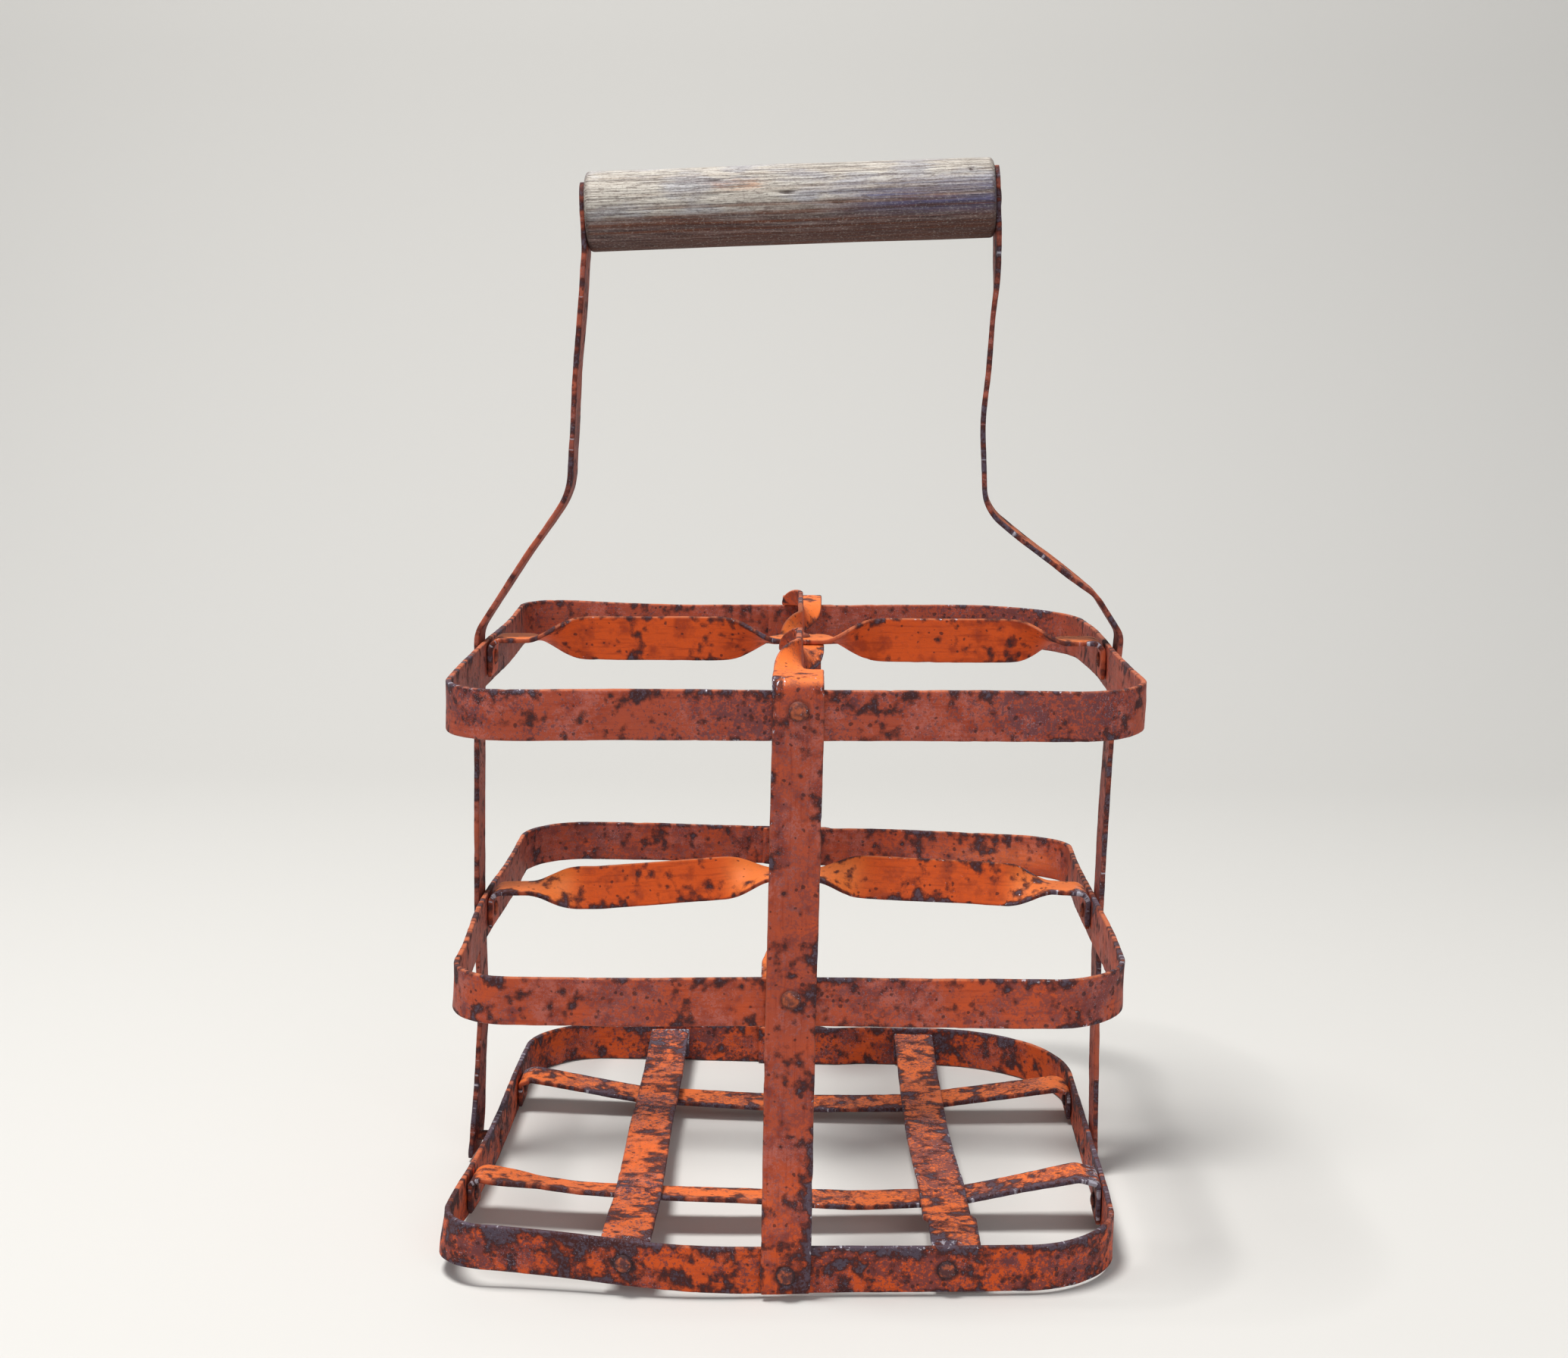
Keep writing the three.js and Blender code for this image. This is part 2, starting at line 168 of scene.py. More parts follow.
def bent(points):
    """Moves points of the straight crate to where the old, knocked crate has them."""
    x, y, z = points.T
    shift_x, shift_y, turn, lift, slope_x, slope_y, inner_front, inner_back = (
        np.interp(z, BENDS[:, 0], column) for column in BENDS[:, 1:].T
    )
    at_corners = smoothstep(np.abs(x), 50, 88)
    inner = inner_back + (inner_front - inner_back) * smoothstep(-y, -60, 92)
    out = points.copy()
    out[:, 0] += at_corners * (shift_x - turn * y) + (1 - at_corners) * inner
    out[:, 1] += shift_y + turn * x
    out[:, 2] += lift + slope_x * x + slope_y * y
    low = 1 - smoothstep(z, 14, 60)
    out[:, 1] -= BASE_LEAN * (z - LEAN_FROM) * (1 - smoothstep(z, 13, 34)) * smoothstep(-y, 78, 92)
    out[:, 2] += CORNER_LIFT * low * smoothstep(-x, 2, 98) * smoothstep(-y, 30, 96)
    for place, reach, push in KNOCKS:
        near = np.exp(-(((points - place) / reach) ** 2).sum(axis=1))
        out += near[:, None] * push
    loose = WOBBLE * (1 - smoothstep(z, 180, 240))
    for axis in range(2):
        out[:, axis] += loose * noise(points, WOBBLE_SIZE, 60 + axis)
    out[:, 2] += np.minimum(loose, z * WOBBLE_SLOPE) * noise(points, WOBBLE_SIZE, 62)
    return out


# Straps -----

STATION_STEP = 1.2
# Between two stations on an arc, in radians.
LARGEST_TURN = 0.2


def straight_run(start, end):
    """Stations from start to end, without start."""
    pieces = max(1, math.ceil(np.linalg.norm(end - start) / STATION_STEP))
    return [start + (end - start) * k / pieces for k in range(1, pieces + 1)]


def arc_run(start, way, turn, radius):
    """Stations and directions along an arc that leaves start along way, without start."""
    centre = start + math.copysign(1, turn) * radius * np.array([-way[1], way[0]])
    steps = max(2, math.ceil(abs(turn) * radius / STATION_STEP), math.ceil(abs(turn) / LARGEST_TURN))
    spots, ways = [], []
    for k in range(1, steps + 1):
        angle = turn * k / steps
        turned = np.array([[math.cos(angle), -math.sin(angle)], [math.sin(angle), math.cos(angle)]])
        spots.append(centre + turned @ (start - centre))
        ways.append(turned @ way)
    return spots, ways


def centre_line(corners):
    """Stations of a line of straight runs joined by arcs; a corner is (u, v, bend radius).

    Gives each station's place, its direction and its distance along the line."""
    points = [np.array(corner[:2], float) for corner in corners]
    spots = [points[0]]
    ways = [unit(points[1] - points[0])]
    for i in range(1, len(points) - 1):
        way = unit(points[i] - points[i - 1])
        leaving = unit(points[i + 1] - points[i])
        turn = math.atan2(way[0] * leaving[1] - way[1] * leaving[0], way @ leaving)
        radius = corners[i][2]
        cut = radius * math.tan(abs(turn) / 2)
        arc_start = points[i] - way * cut
        run = straight_run(spots[-1], arc_start)
        arc_spots, arc_ways = arc_run(arc_start, way, turn, radius)
        spots += run + arc_spots
        ways += [way] * len(run) + arc_ways
    run = straight_run(spots[-1], points[-1])
    spots, ways = np.array(spots + run), np.array(ways + [unit(points[-1] - points[-2])] * len(run))
    gaps = np.linalg.norm(np.diff(spots, axis=0), axis=1)
    keep = np.concatenate([[True], gaps > 1e-6])
    spots, ways = spots[keep], ways[keep]
    gaps = np.linalg.norm(np.diff(spots, axis=0), axis=1)
    return spots, ways, np.concatenate([[0], np.cumsum(gaps)])


def section():
    """Round a strap's section from the left of its top face: across, up, and the outward way."""
    flat = HALF_WIDTH - EDGE_ROUND
    rise = HALF_THICK - EDGE_ROUND
    beside_edge = 0.3
    across = [-flat, *np.linspace(-flat + beside_edge, flat - beside_edge, 11), flat]
    top = [(a, HALF_THICK, 0, 1) for a in across]
    upper = []
    for degrees in (60, 30, 0):
        c, s = math.cos(math.radians(degrees)), math.sin(math.radians(degrees))
        upper.append((flat + EDGE_ROUND * c, rise + EDGE_ROUND * s, c, s))
    lower = [(a, -b, c, -s) for a, b, c, s in reversed(upper)]
    half = top + upper + lower
    return np.array(half + [(-a, -b, -c, -s) for a, b, c, s in half])


SECTION = section()


def edge_twist(side, lean=0.0):
    """Turns a divider on edge beside the bottle necks, short of upright by lean degrees.

    It lies flat where it crosses another and at its ends."""
    def twist(distance):
        out = np.abs(distance - distance[-1] / 2)
        on_edge = smoothstep(out, 6, 26) - smoothstep(out, 62, 81)
        return side * on_edge * math.radians(90 - lean)
    return twist


def rounded_tip(spots, ways, distance):
    """Closes the last stations up towards the end, for a half-round tip."""
    keep = distance < distance[-1] - HALF_WIDTH
    angle = np.radians(np.linspace(0, 86, 14))
    back = HALF_WIDTH * (np.sin(angle) - 1)
    tip = spots[-1] + ways[-1] * back[:, None]
    narrow = np.concatenate([np.ones(keep.sum()), np.cos(angle)])
    spots = np.vstack([spots[keep], tip])
    ways = np.vstack([ways[keep], np.tile(ways[-1], (len(back), 1))])
    distance = np.concatenate([distance[keep], distance[-1] + back])
    return spots, ways, distance, narrow


# The two ways that a line's corners are measured in.
PLANES = {
    "front_to_back": ((0, 1, 0), (0, 0, 1)),
    "left_to_right": ((1, 0, 0), (0, 0, 1)),
    "level": ((1, 0, 0), (0, 1, 0)),
}


def turned_about(rows, axes, angles):
    """Rows of vectors turned about rows of unit axes square to them."""
    c, s = np.cos(angles)[:, None], np.sin(angles)[:, None]
    return rows * c + np.cross(axes, rows) * s


# The last rings of points at a strap's ends are drawn in (ring, how far), a tip's only at its end.
END_INSETS = ((0, 0.35), (1, 0.12), (-2, 0.12), (-1, 0.3))
# A strap's unevenness: height and size of each of its two noises.
UNEVENNESS = ((0.07, 6.0), (0.05, 2.3))
# A side strap's arm wanders between these heights, from the first two to the last two.
ARM_FREE = (175, 195, 262, 282)
ARM_WANDER_SIZE = 14


def edge_nicks(distance, seed):
    """How far an edge is worn back along its length: gentle waves and a few dents."""
    waves = 0.10 * noise_along(distance, 17, seed)
    dents = 0.5 * np.maximum(noise_along(distance, 3.1, seed + 40) - 0.5, 0)
    return waves + dents - 0.2


def worn_section(distance, narrow, tip, seed):
    """Each section point's reach sideways and up at each station, with nicks and worn ends."""
    across, rise = SECTION[:, 0], SECTION[:, 1]
    left_nick = edge_nicks(distance, seed + 1)
    right_nick = edge_nicks(distance, seed + 2)
    nick = np.where(across[None] < 0, left_nick[:, None], right_nick[:, None])
    at_edge = (np.abs(across[None]) / HALF_WIDTH) ** 4
    reach = across[None] * narrow[:, None] - np.sign(across[None]) * nick * at_edge
    height = np.tile(rise[None], (len(distance), 1))
    for ring, inset in END_INSETS:
        if tip and ring == -2:
            continue
        reach[ring] -= np.sign(reach[ring]) * np.minimum(inset, np.abs(reach[ring]))
        height[ring] *= 1 - inset
    return reach, height


def strap_faces(rings, sides):
    """Quads between a strap's rings of points, and a face on each end."""
    faces = []
    for i in range(rings - 1):
        for k in range(sides):
            here, there, after = i * sides, (i + 1) * sides, (k + 1) % sides
            faces.append((here + k, there + k, there + after, here + after))
    faces.append(tuple(range(sides)))
    faces.append(tuple((rings - 1) * sides + k for k in reversed(range(sides))))
    return faces


def rivet_gap(points):
    """How far points are from the axis of the nearest rivet that passes through there."""
    gap = np.full(len(points), 50.0)
    for node in RIVET_NODES:
        spot, way, half = rivet_box(node)
        from_rivet = points - spot
        depth = from_rivet @ way
        away = np.linalg.norm(from_rivet - depth[:, None] * way, axis=1)
        gap = np.where(np.abs(depth) < half + 1, np.minimum(gap, away), gap)
    return gap


def folded_stretches(along, distance):
    """1 where a strap is bent sharply, 0 where it is straight."""
    turn = np.linalg.norm(np.gradient(along, distance, axis=0), axis=1)
    return smoothstep(np.convolve(turn, np.ones(5) / 5, mode="same"), 0.06, 0.2)


def faces_inside(points, outward):
    """1 on faces that look towards the middle of the crate."""
    looks_in = np.einsum("ij,ij->i", unit(-points * [1, 1, 0] + [1e-6, 0, 0]), outward)
    return smoothstep(looks_in, 0.3, 0.7)


def strap_line(corners, plane, origin, twist, tip):
    """A strap's stations: middle, way along and way across, distance, and part of full width."""
    u, v = np.array(PLANES[plane])
    line = centre_line(corners)
    spots, ways, distance, narrow = rounded_tip(*line) if tip else (*line, np.ones(len(line[0])))
    middle = np.array(origin, float) + spots[:, :1] * u + spots[:, 1:] * v
    along = ways[:, :1] * u + ways[:, 1:] * v
    width = np.tile(np.cross(v, u).astype(float), (len(along), 1))
    if twist:
        width = turned_about(width, along, twist(distance))
    return middle, along, width, distance, narrow


def strap_surface(middle, width, up, reach, height, seed):
    """The points round a strap at each station, a little uneven, and their outward ways."""
    out_across, out_up = SECTION[:, 2], SECTION[:, 3]
    points = middle[:, None] + width[:, None] * reach[..., None] + up[:, None] * height[..., None]
    outward = width[:, None] * out_across[None, :, None] + up[:, None] * out_up[None, :, None]
    points, outward = points.reshape(-1, 3), outward.reshape(-1, 3)
    uneven = sum(rough * noise(points, size, seed + i) for i, (rough, size) in enumerate(UNEVENNESS, 3))
    return points + outward * uneven[:, None], outward


def strap(
    node, corners, plane, origin=(0, 0, 0), twist=None, tip=False, wobble=0.0, drift=None, wear=1.0, **looks
):
    """A strap with slightly uneven edges and faces, bent along the line through corners.

    twist(distance) turns it about its line, drift(middle) moves its line sideways and up, and
    wear below 1 draws the rust out across it. looks are the paint's attributes, each a number
    or a function of the line's points."""
    seed = name_seed(node, 1)
    middle, along, width, distance, narrow = strap_line(corners, plane, origin, twist, tip)
    up = np.cross(along, width)
    if wobble:
        z = middle[:, 2]
        free = smoothstep(z, *ARM_FREE[:2]) * (1 - smoothstep(z, *ARM_FREE[2:]))
        middle += up * (wobble * free * noise_along(distance, ARM_WANDER_SIZE, seed))[:, None]
    if drift:
        sideways, lifted = drift(middle)
        middle = middle + width * sideways[:, None] + up * lifted[:, None]
    reach, height = worn_section(distance, narrow, tip, seed)
    points, outward = strap_surface(middle, width, up, reach, height, seed)

    rings, sides = len(along), len(SECTION)
    across = SECTION[:, 0]
    # The third place sets each strap's rust apart from the others'.
    apart = np.full(rings * sides, float(seed % 97) * 7)
    attributes = {
        "strap": np.stack([np.tile(across * wear, rings), np.repeat(distance, sides), apart], axis=1),
        "edge": np.tile(HALF_WIDTH - np.abs(across), rings),
        "folded": np.repeat(folded_stretches(along, distance), sides),
        "inside": faces_inside(points, outward),
        "rivet_gap": rivet_gap(points),
    }
    for look, amount in looks.items():
        per_ring = amount(middle) if callable(amount) else np.full(rings, amount)
        attributes[look] = np.repeat(per_ring, sides)
    piece(node, bent(points), strap_faces(rings, sides), attributes, "frame", "painted_strap")


# Pieces -----

MATERIALS = {}


def added(name, data):
    """A new object in the scene."""
    thing = bpy.data.objects.new(name, data)
    bpy.context.scene.collection.objects.link(thing)
    return thing


def piece(node, points, faces, attributes, body, slot):
    """Makes a mesh that stands for a CAD node, from points in millimetres.

    Quads are smooth and the faces on the ends are flat."""
    mesh = bpy.data.meshes.new(node + "_shape")
    mesh.from_pydata((points * MM).tolist(), [], faces)
    mesh.polygons.foreach_set("use_smooth", [len(face) <= 4 for face in faces])
    for name, values in attributes.items():
        vector = values.ndim == 2
        kind = "FLOAT_VECTOR" if vector else "FLOAT"
        attribute = mesh.attributes.new(name, kind, "POINT")
        attribute.data.foreach_set("vector" if vector else "value", values.astype(np.float32).ravel())
    mesh.materials.append(MATERIALS[slot])
    shape = added(node + "_shape", mesh)
    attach(shape, body)
    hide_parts(node)


def turned_faces(rings, sides, closed=False):
    """Quads between a turned profile's rings of points, and ends unless the profile is closed."""
    faces = []
    for i in range(rings if closed else rings - 1):
        for k in range(sides):
            here, there, after = i * sides, (i + 1) % rings * sides, (k + 1) % sides
            faces.append((here + k, here + after, there + after, there + k))
    if not closed:
        faces.append(tuple(reversed(range(sides))))
        faces.append(tuple((rings - 1) * sides + k for k in range(sides)))
    return faces


def frame_about(axis):
    """Two unit vectors square to axis."""
    helper = np.array([0, 0, 1.0]) if abs(axis[2]) < 0.9 else np.array([1.0, 0, 0])
    first = unit(np.cross(helper, axis))
    return first, np.cross(axis, first)


def turned(profile, axis, origin, sides):
    """Points of a profile of (radius, height) turned about axis through origin, and the way out."""
    first, second = frame_about(axis)
    angle = np.linspace(0, 2 * math.pi, sides, endpoint=False)
    ring = np.cos(angle)[:, None] * first + np.sin(angle)[:, None] * second
    radius, height = np.array(profile, float).T
    points = origin + height[:, None, None] * axis + radius[:, None, None] * ring[None]
    return points.reshape(-1, 3), np.tile(ring, (len(profile), 1))


# Rivets -----

HEAD_HEIGHT = 1.2
HEAD_RADIUS = 2.65
TAIL_RADIUS = 2.3
TAIL_HEIGHT = 1.0
SHANK_RADIUS = 1.6
RIVET_SIDES = 40
# Between a shank's end and the head or tail that it runs into.
NECK = 0.05
# The foot of the left side strap stands this far off the base hoop, and its rivet is drawn out.
LOOSE_FOOT = 4.8

RIVET_NODES = sorted(name for name in frame["nodes"] if name.startswith("rivet_"))
# A rivet's head points the way that the third word of its name says.
SIDE_WAYS = {
    "front": (0, -1, 0),
    "back": (0, 1, 0),
    "left": (-1, 0, 0),
    "right": (1, 0, 0),
    "crossing": (0, 0, 1),
}


def rivet_box(node):
    """The middle of a rivet, its outward way, and its half length, from its CAD node."""
    low, high = (np.array(corner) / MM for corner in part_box(node))
    way = np.array(SIDE_WAYS[node.split("_")[2]], float)
    return (low + high) / 2, way, abs((high - low) @ way) / 2


def rivet_profile(half):
    """A round tail, a shank and a round head, from the tail's middle to the head's."""
    tail = [
        (TAIL_RADIUS * math.sin(t), -half + TAIL_HEIGHT * (1 - math.cos(t)))
        for t in np.radians(np.linspace(4, 90, 9))
    ]
    shank = [(SHANK_RADIUS, -half + TAIL_HEIGHT + NECK), (SHANK_RADIUS, half - HEAD_HEIGHT - NECK)]
    head = [
        (HEAD_RADIUS * math.cos(t) ** 0.8, half - HEAD_HEIGHT * (1 - math.sin(t) ** 1.1))
        for t in np.radians(np.linspace(0, 86, 14))
    ]
    return tail + shank + head


def rivet(node):
    """A hammered round-head rivet, closed at both ends."""
    seed = name_seed(node, 3)
    middle, way, half = rivet_box(node)
    if node == "rivet_base_left":
        middle = middle + way * LOOSE_FOOT / 2
        half += LOOSE_FOOT / 2
    profile = rivet_profile(half)
    points, outward = turned(profile, way, middle, RIVET_SIDES)
    radius = np.repeat(np.array(profile)[:, 0], RIVET_SIDES)
    dents = 0.13 * noise(points, 1.6, seed) + 0.05 * noise(points, 0.6, seed + 1)
    hit = smoothstep((points - middle) @ way, half - 1.3, half)
    points = points + way * (dents * hit * 0.9)[:, None] + outward * (dents * 0.8)[:, None]
    rusty = 1.0 if "_base_" in node or "_slat_" in node else 0.25
    attributes = {"rim": radius / HEAD_RADIUS, "rusty": np.full(len(points), rusty)}
    faces = turned_faces(len(profile), RIVET_SIDES)
    piece(node, bent(points), faces, attributes, "frame", "painted_rivets")


# Grip and rod -----

GRIP_AXIS = np.array([math.cos(GRIP_TILT), 0, math.sin(GRIP_TILT)])
GRIP_UP = np.array([-math.sin(GRIP_TILT), 0, math.cos(GRIP_TILT)])
GRIP_SIDES = 240

# Marks pressed into the grip: distance along it, degrees up from the front, half length, half
# width and depth.
GRIP_MARKS = [
    (-36.5, 68, 2.2, 0.6, 0.5),
    (-21.5, 38, 3.0, 0.45, 0.5),
    (-0.8, 14, 3.2, 0.5, 0.5),
    (-13.5, 44, 4.2, 0.35, 0.45),
    (-12.0, 50, 3.0, 0.35, 0.4),
    (52.6, 42, 0.6, 0.6, 0.7),
    (21.0, 55, 2.6, 0.35, 0.3),
    (14.0, -4, 2.4, 0.4, 0.3),
    (38.0, -12, 3.0, 0.45, 0.3),
]


def pressed_marks(grain):
    """How deep the marks are at points given along the grip, back and up."""
    depth = np.zeros(len(grain))
    for along, degrees, half_length, half_width, deep in GRIP_MARKS:
        angle = math.radians(degrees)
        spot = np.array([along, -GRIP_RADIUS * math.cos(angle), GRIP_RADIUS * math.sin(angle)])
        from_mark = (grain - spot) / [half_length, half_width, half_width]
        depth = np.maximum(depth, deep * np.exp(-(from_mark ** 2).sum(axis=1)))
    return depth


def grip_profile():
    """Radius and height round half a lengthwise cut: left end, outside, right end and bore."""
    half = GRIP_LENGTH / 2
    edge = [
        (GRIP_RADIUS - GRIP_EDGE * (1 - math.cos(t)), half - GRIP_EDGE * (1 - math.sin(t)))
        for t in np.radians(np.linspace(0, 90, 8))
    ]
    end = [(r, half) for r in np.linspace(GRIP_RADIUS - GRIP_EDGE, BORE_RADIUS + 0.3, 9)[1:]]
    mouth = [(BORE_RADIUS, half - 0.3)]
    right_half = edge + end + mouth
    left_half = [(r, -h) for r, h in reversed(right_half)]
    outside = [(GRIP_RADIUS, h) for h in np.linspace(-half + 2.2, half - 2.2, 190)]
    bore = [(BORE_RADIUS, h) for h in np.linspace(half - 3, 3 - half, 12)]
    return left_half + outside + right_half + bore


def wood_relief(grain):
    """How far the weathered surface stands out: fine lines, open grooves, swelling and dents."""
    long_grain = grain * [0.035, 1, 1]
    lines = noise(long_grain, 0.75, 5) * 0.07 + noise(long_grain, 1.9, 6) * 0.07
    grooves = -0.16 * np.maximum(noise(long_grain + 40, 1.1, 7) - 0.35, 0)
    swell = 0.16 * noise(grain * [0.25, 1, 1], 9, 8)
    dents = -0.5 * np.maximum(noise(grain * [0.4, 1, 1], 2.2, 9) - 0.62, 0)
    return lines + grooves + swell + dents


def grip():
    """A turned wooden grip with open grain, small dents and a bore for the rod."""
    profile = grip_profile()
    points, outward = turned(profile, GRIP_AXIS, GRIP_CENTRE, GRIP_SIDES)
    local = points - GRIP_CENTRE
    grain = np.stack([local @ GRIP_AXIS, local[:, 1], local @ GRIP_UP], axis=1)
    radius = np.repeat(np.array(profile)[:, 0], GRIP_SIDES)
    outer = smoothstep(radius, GRIP_RADIUS - GRIP_EDGE, GRIP_RADIUS - 0.2)
    marks = pressed_marks(grain)
    points = points + outward * ((wood_relief(grain) - marks) * outer)[:, None]
    faces = turned_faces(len(profile), GRIP_SIDES, closed=True)
    end_gap = GRIP_LENGTH / 2 - np.abs(grain[:, 0])
    attributes = {"grain": grain, "end_gap": end_gap, "pressed": marks}
    piece("wooden_grip", points, faces, attributes, "grip", "weathered_wood")


ROD_HEAD_RADIUS = 3.6
ROD_HEAD_HEIGHT = 0.8
ROD_SIDES = 40
# The hammered rod ends stay this much inside the CAD rod's.
ROD_SHORT = 0.5


def rod():
    """The rod through the grip, its ends hammered over outside the side straps."""
    low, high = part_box("grip_rod")
    half_box = (high - low).x / MM / math.cos(GRIP_TILT) / 2
    half = half_box - ROD_HEAD_RADIUS * math.tan(GRIP_TILT) - ROD_SHORT
    dome = [
        (ROD_HEAD_RADIUS * math.cos(t) ** 0.8, half - ROD_HEAD_HEIGHT * (1 - math.sin(t)))
        for t in np.radians(np.linspace(0, 85, 12))
    ]
    neck = [(ROD_RADIUS, h) for h in np.linspace(0, half - ROD_HEAD_HEIGHT - NECK, 14)]
    right_half = neck[1:] + dome
    profile = [(r, -h) for r, h in reversed(right_half)] + [neck[0]] + right_half
    points, outward = turned(profile, GRIP_AXIS, GRIP_CENTRE, ROD_SIDES)
    at = (points - GRIP_CENTRE) @ GRIP_AXIS
    ends = smoothstep(np.abs(at), half - ROD_HEAD_HEIGHT - 0.1, half - ROD_HEAD_HEIGHT)
    points = points + outward * (0.12 * ends * noise(points, 1.4, 31))[:, None]
    piece("grip_rod", points, turned_faces(len(profile), ROD_SIDES), {}, "frame", "worn_steel")


# Materials -----

def tint(red, green, blue):
    """A colour given as 0 to 255, as Blender's linear colour."""
    channels = []
    for value in (red, green, blue):
        part = value / 255
        channels.append(part / 12.92 if part <= 0.04045 else ((part + 0.055) / 1.055) ** 2.4)
    return (*channels, 1.0)


class Shader:
    """A material whose methods add a node and give back its output.

    Sizes are millimetres; clouds and chances run from 0 to 1."""

    def __init__(self, name):
        self.material = bpy.data.materials.new(name)
        self.material.use_nodes = True
        self.tree = self.material.node_tree
        self.surface = self.tree.nodes["Principled BSDF"]

    def feed(self, socket, value):
        if isinstance(value, bpy.types.NodeSocket):
            self.tree.links.new(value, socket)
        else:
            socket.default_value = value

    def add(self, kind, inputs, **settings):
        node = self.tree.nodes.new(kind)
        for name, value in settings.items():
            setattr(node, name, value)
        for key, value in inputs.items():
            self.feed(node.inputs[key], value)
        return node

    def number(self, name):
        return self.add("ShaderNodeAttribute", {}, attribute_name=name).outputs["Fac"]

    def vector(self, name):
        return self.add("ShaderNodeAttribute", {}, attribute_name=name).outputs["Vector"]

    def place(self):
        """Position in the object's own frame, in millimetres."""
        spot = self.tree.nodes.new("ShaderNodeTexCoord").outputs["Object"]
        return self.scaled(spot, (1 / MM,) * 3)

    def scaled(self, vector, factors):
        node = self.add("ShaderNodeVectorMath", {0: vector, 1: factors}, operation="MULTIPLY")
        return node.outputs["Vector"]

    def moved(self, vector, other):
        node = self.add("ShaderNodeVectorMath", {0: vector, 1: other}, operation="ADD")
        return node.outputs["Vector"]

    def length(self, vector):
        return self.add("ShaderNodeVectorMath", {0: vector}, operation="LENGTH").outputs["Value"]

    def parts(self, vector):
        node = self.add("ShaderNodeSeparateXYZ", {0: vector})
        return node.outputs["X"], node.outputs["Y"], node.outputs["Z"]

    def upward(self):
        """1 on faces that look up, 0 on upright ones."""
        return self.parts(self.add("ShaderNodeNewGeometry", {}).outputs["Normal"])[2]

    def cloud(self, vector, size, detail=3.0, roughness=0.55):
        inputs = {"Vector": vector, "Scale": 1 / size, "Detail": detail, "Roughness": roughness}
        return self.add("ShaderNodeTexNoise", inputs).outputs[0]

    def wander(self, vector, size):
        """A random vector that changes smoothly over size."""
        return self.add("ShaderNodeTexNoise", {"Vector": vector, "Scale": 1 / size}).outputs[1]

    def cells(self, vector, size):
        """Distance to the nearest cell point, in cells, and a random number for the cell."""
        node = self.add("ShaderNodeTexVoronoi", {"Vector": vector, "Scale": 1 / size})
        channels = self.add("ShaderNodeSeparateColor", {0: node.outputs["Color"]})
        return node.outputs["Distance"], channels.outputs[0]

    def combined(self, operation, value, *others):
        for other in others:
            value = self.add("ShaderNodeMath", {0: value, 1: other}, operation=operation).outputs[0]
        return value

    def sum(self, *values):
        return self.combined("ADD", *values)

    def less(self, first, second):
        return self.combined("SUBTRACT", first, second)

    def times(self, *values):
        return self.combined("MULTIPLY", *values)

    def most(self, *values):
        return self.combined("MAXIMUM", *values)

    def swing(self, value, amount):
        """A cloud's swing either side of its middle, times amount."""
        return self.times(self.less(value, 0.5), amount)

    def ramp(self, value, low, high, start, end):
        inputs = {"Value": value, "From Min": low, "From Max": high, "To Min": start, "To Max": end}
        return self.add("ShaderNodeMapRange", inputs, interpolation_type="SMOOTHSTEP").outputs["Result"]

    def rise(self, value, low, high, to=1.0):
        """Goes smoothly from 0 to to as value goes from low to high."""
        return self.ramp(value, low, high, 0.0, to)

    def fall(self, value, low, high, to=1.0):
        """Goes smoothly from to to 0 as value goes from low to high."""
        return self.ramp(value, low, high, to, 0.0)

    def mixed(self, amount, first, second):
        """Two colours mixed."""
        node = self.add("ShaderNodeMix", {0: amount, 6: first, 7: second}, data_type="RGBA")
        return node.outputs[2]

    def blended(self, amount, first, second):
        """Two numbers mixed."""
        return self.add("ShaderNodeMix", {0: amount, 2: first, 3: second}).outputs[0]

    def finish(self, color, roughness, height, relief, metallic=0.0, specular=0.5):
        """Connects the surface; relief is the depth of the bump in metres."""
        bump = self.add("ShaderNodeBump", {"Height": height, "Distance": relief, "Strength": 0.9})
        names = ("Base Color", "Roughness", "Normal", "Metallic", "Specular IOR Level")
        for name, value in zip(names, (color, roughness, bump.outputs["Normal"], metallic, specular)):
            self.feed(self.surface.inputs[name], value)
        return self.material


FADED_PAINT = tint(166, 73, 50)
PINK_PAINT = tint(184, 108, 98)
BRIGHT_PAINT = tint(208, 82, 26)
LIT_PAINT = tint(226, 120, 54)
DEEP_PAINT = tint(134, 42, 18)
GRIME = tint(82, 53, 62)
STAIN_AND_SHADE_PAINT = tint(80, 42, 32)
EDGE_PAINT = tint(146, 82, 64)
RUST_RIM = tint(96, 36, 26)
RUST_BROWN = tint(56, 34, 36)
RUST_SLATE = tint(82, 76, 90)
BARE_METAL = tint(186, 184, 196)
SPECKS = tint(146, 132, 144)


def strap_textures(s):
    """A strap's attributes, and the clouds that its paint and its rust share."""
    t = SimpleNamespace(spot=s.place(), strap_spot=s.vector("strap"))
    for name in ("edge", "folded", "inside", "rivet_gap", "faded", "grimy", "rusty"):
        setattr(t, name, s.number(name))
    t.region = s.cloud(t.spot, 34, 2.0, 0.5)
    t.large = s.cloud(t.spot, 13, 2.0, 0.5)
    t.middle = s.cloud(t.spot, 4.2)
    t.fine = s.cloud(t.spot, 1.0, 4.0, 0.65)
    t.grit = s.cloud(t.spot, 0.45, 3.0, 0.6)
    t.streaks = s.cloud(s.scaled(t.strap_spot, (1, 0.07, 1)), 1.0, 4.0, 0.62)
    return t


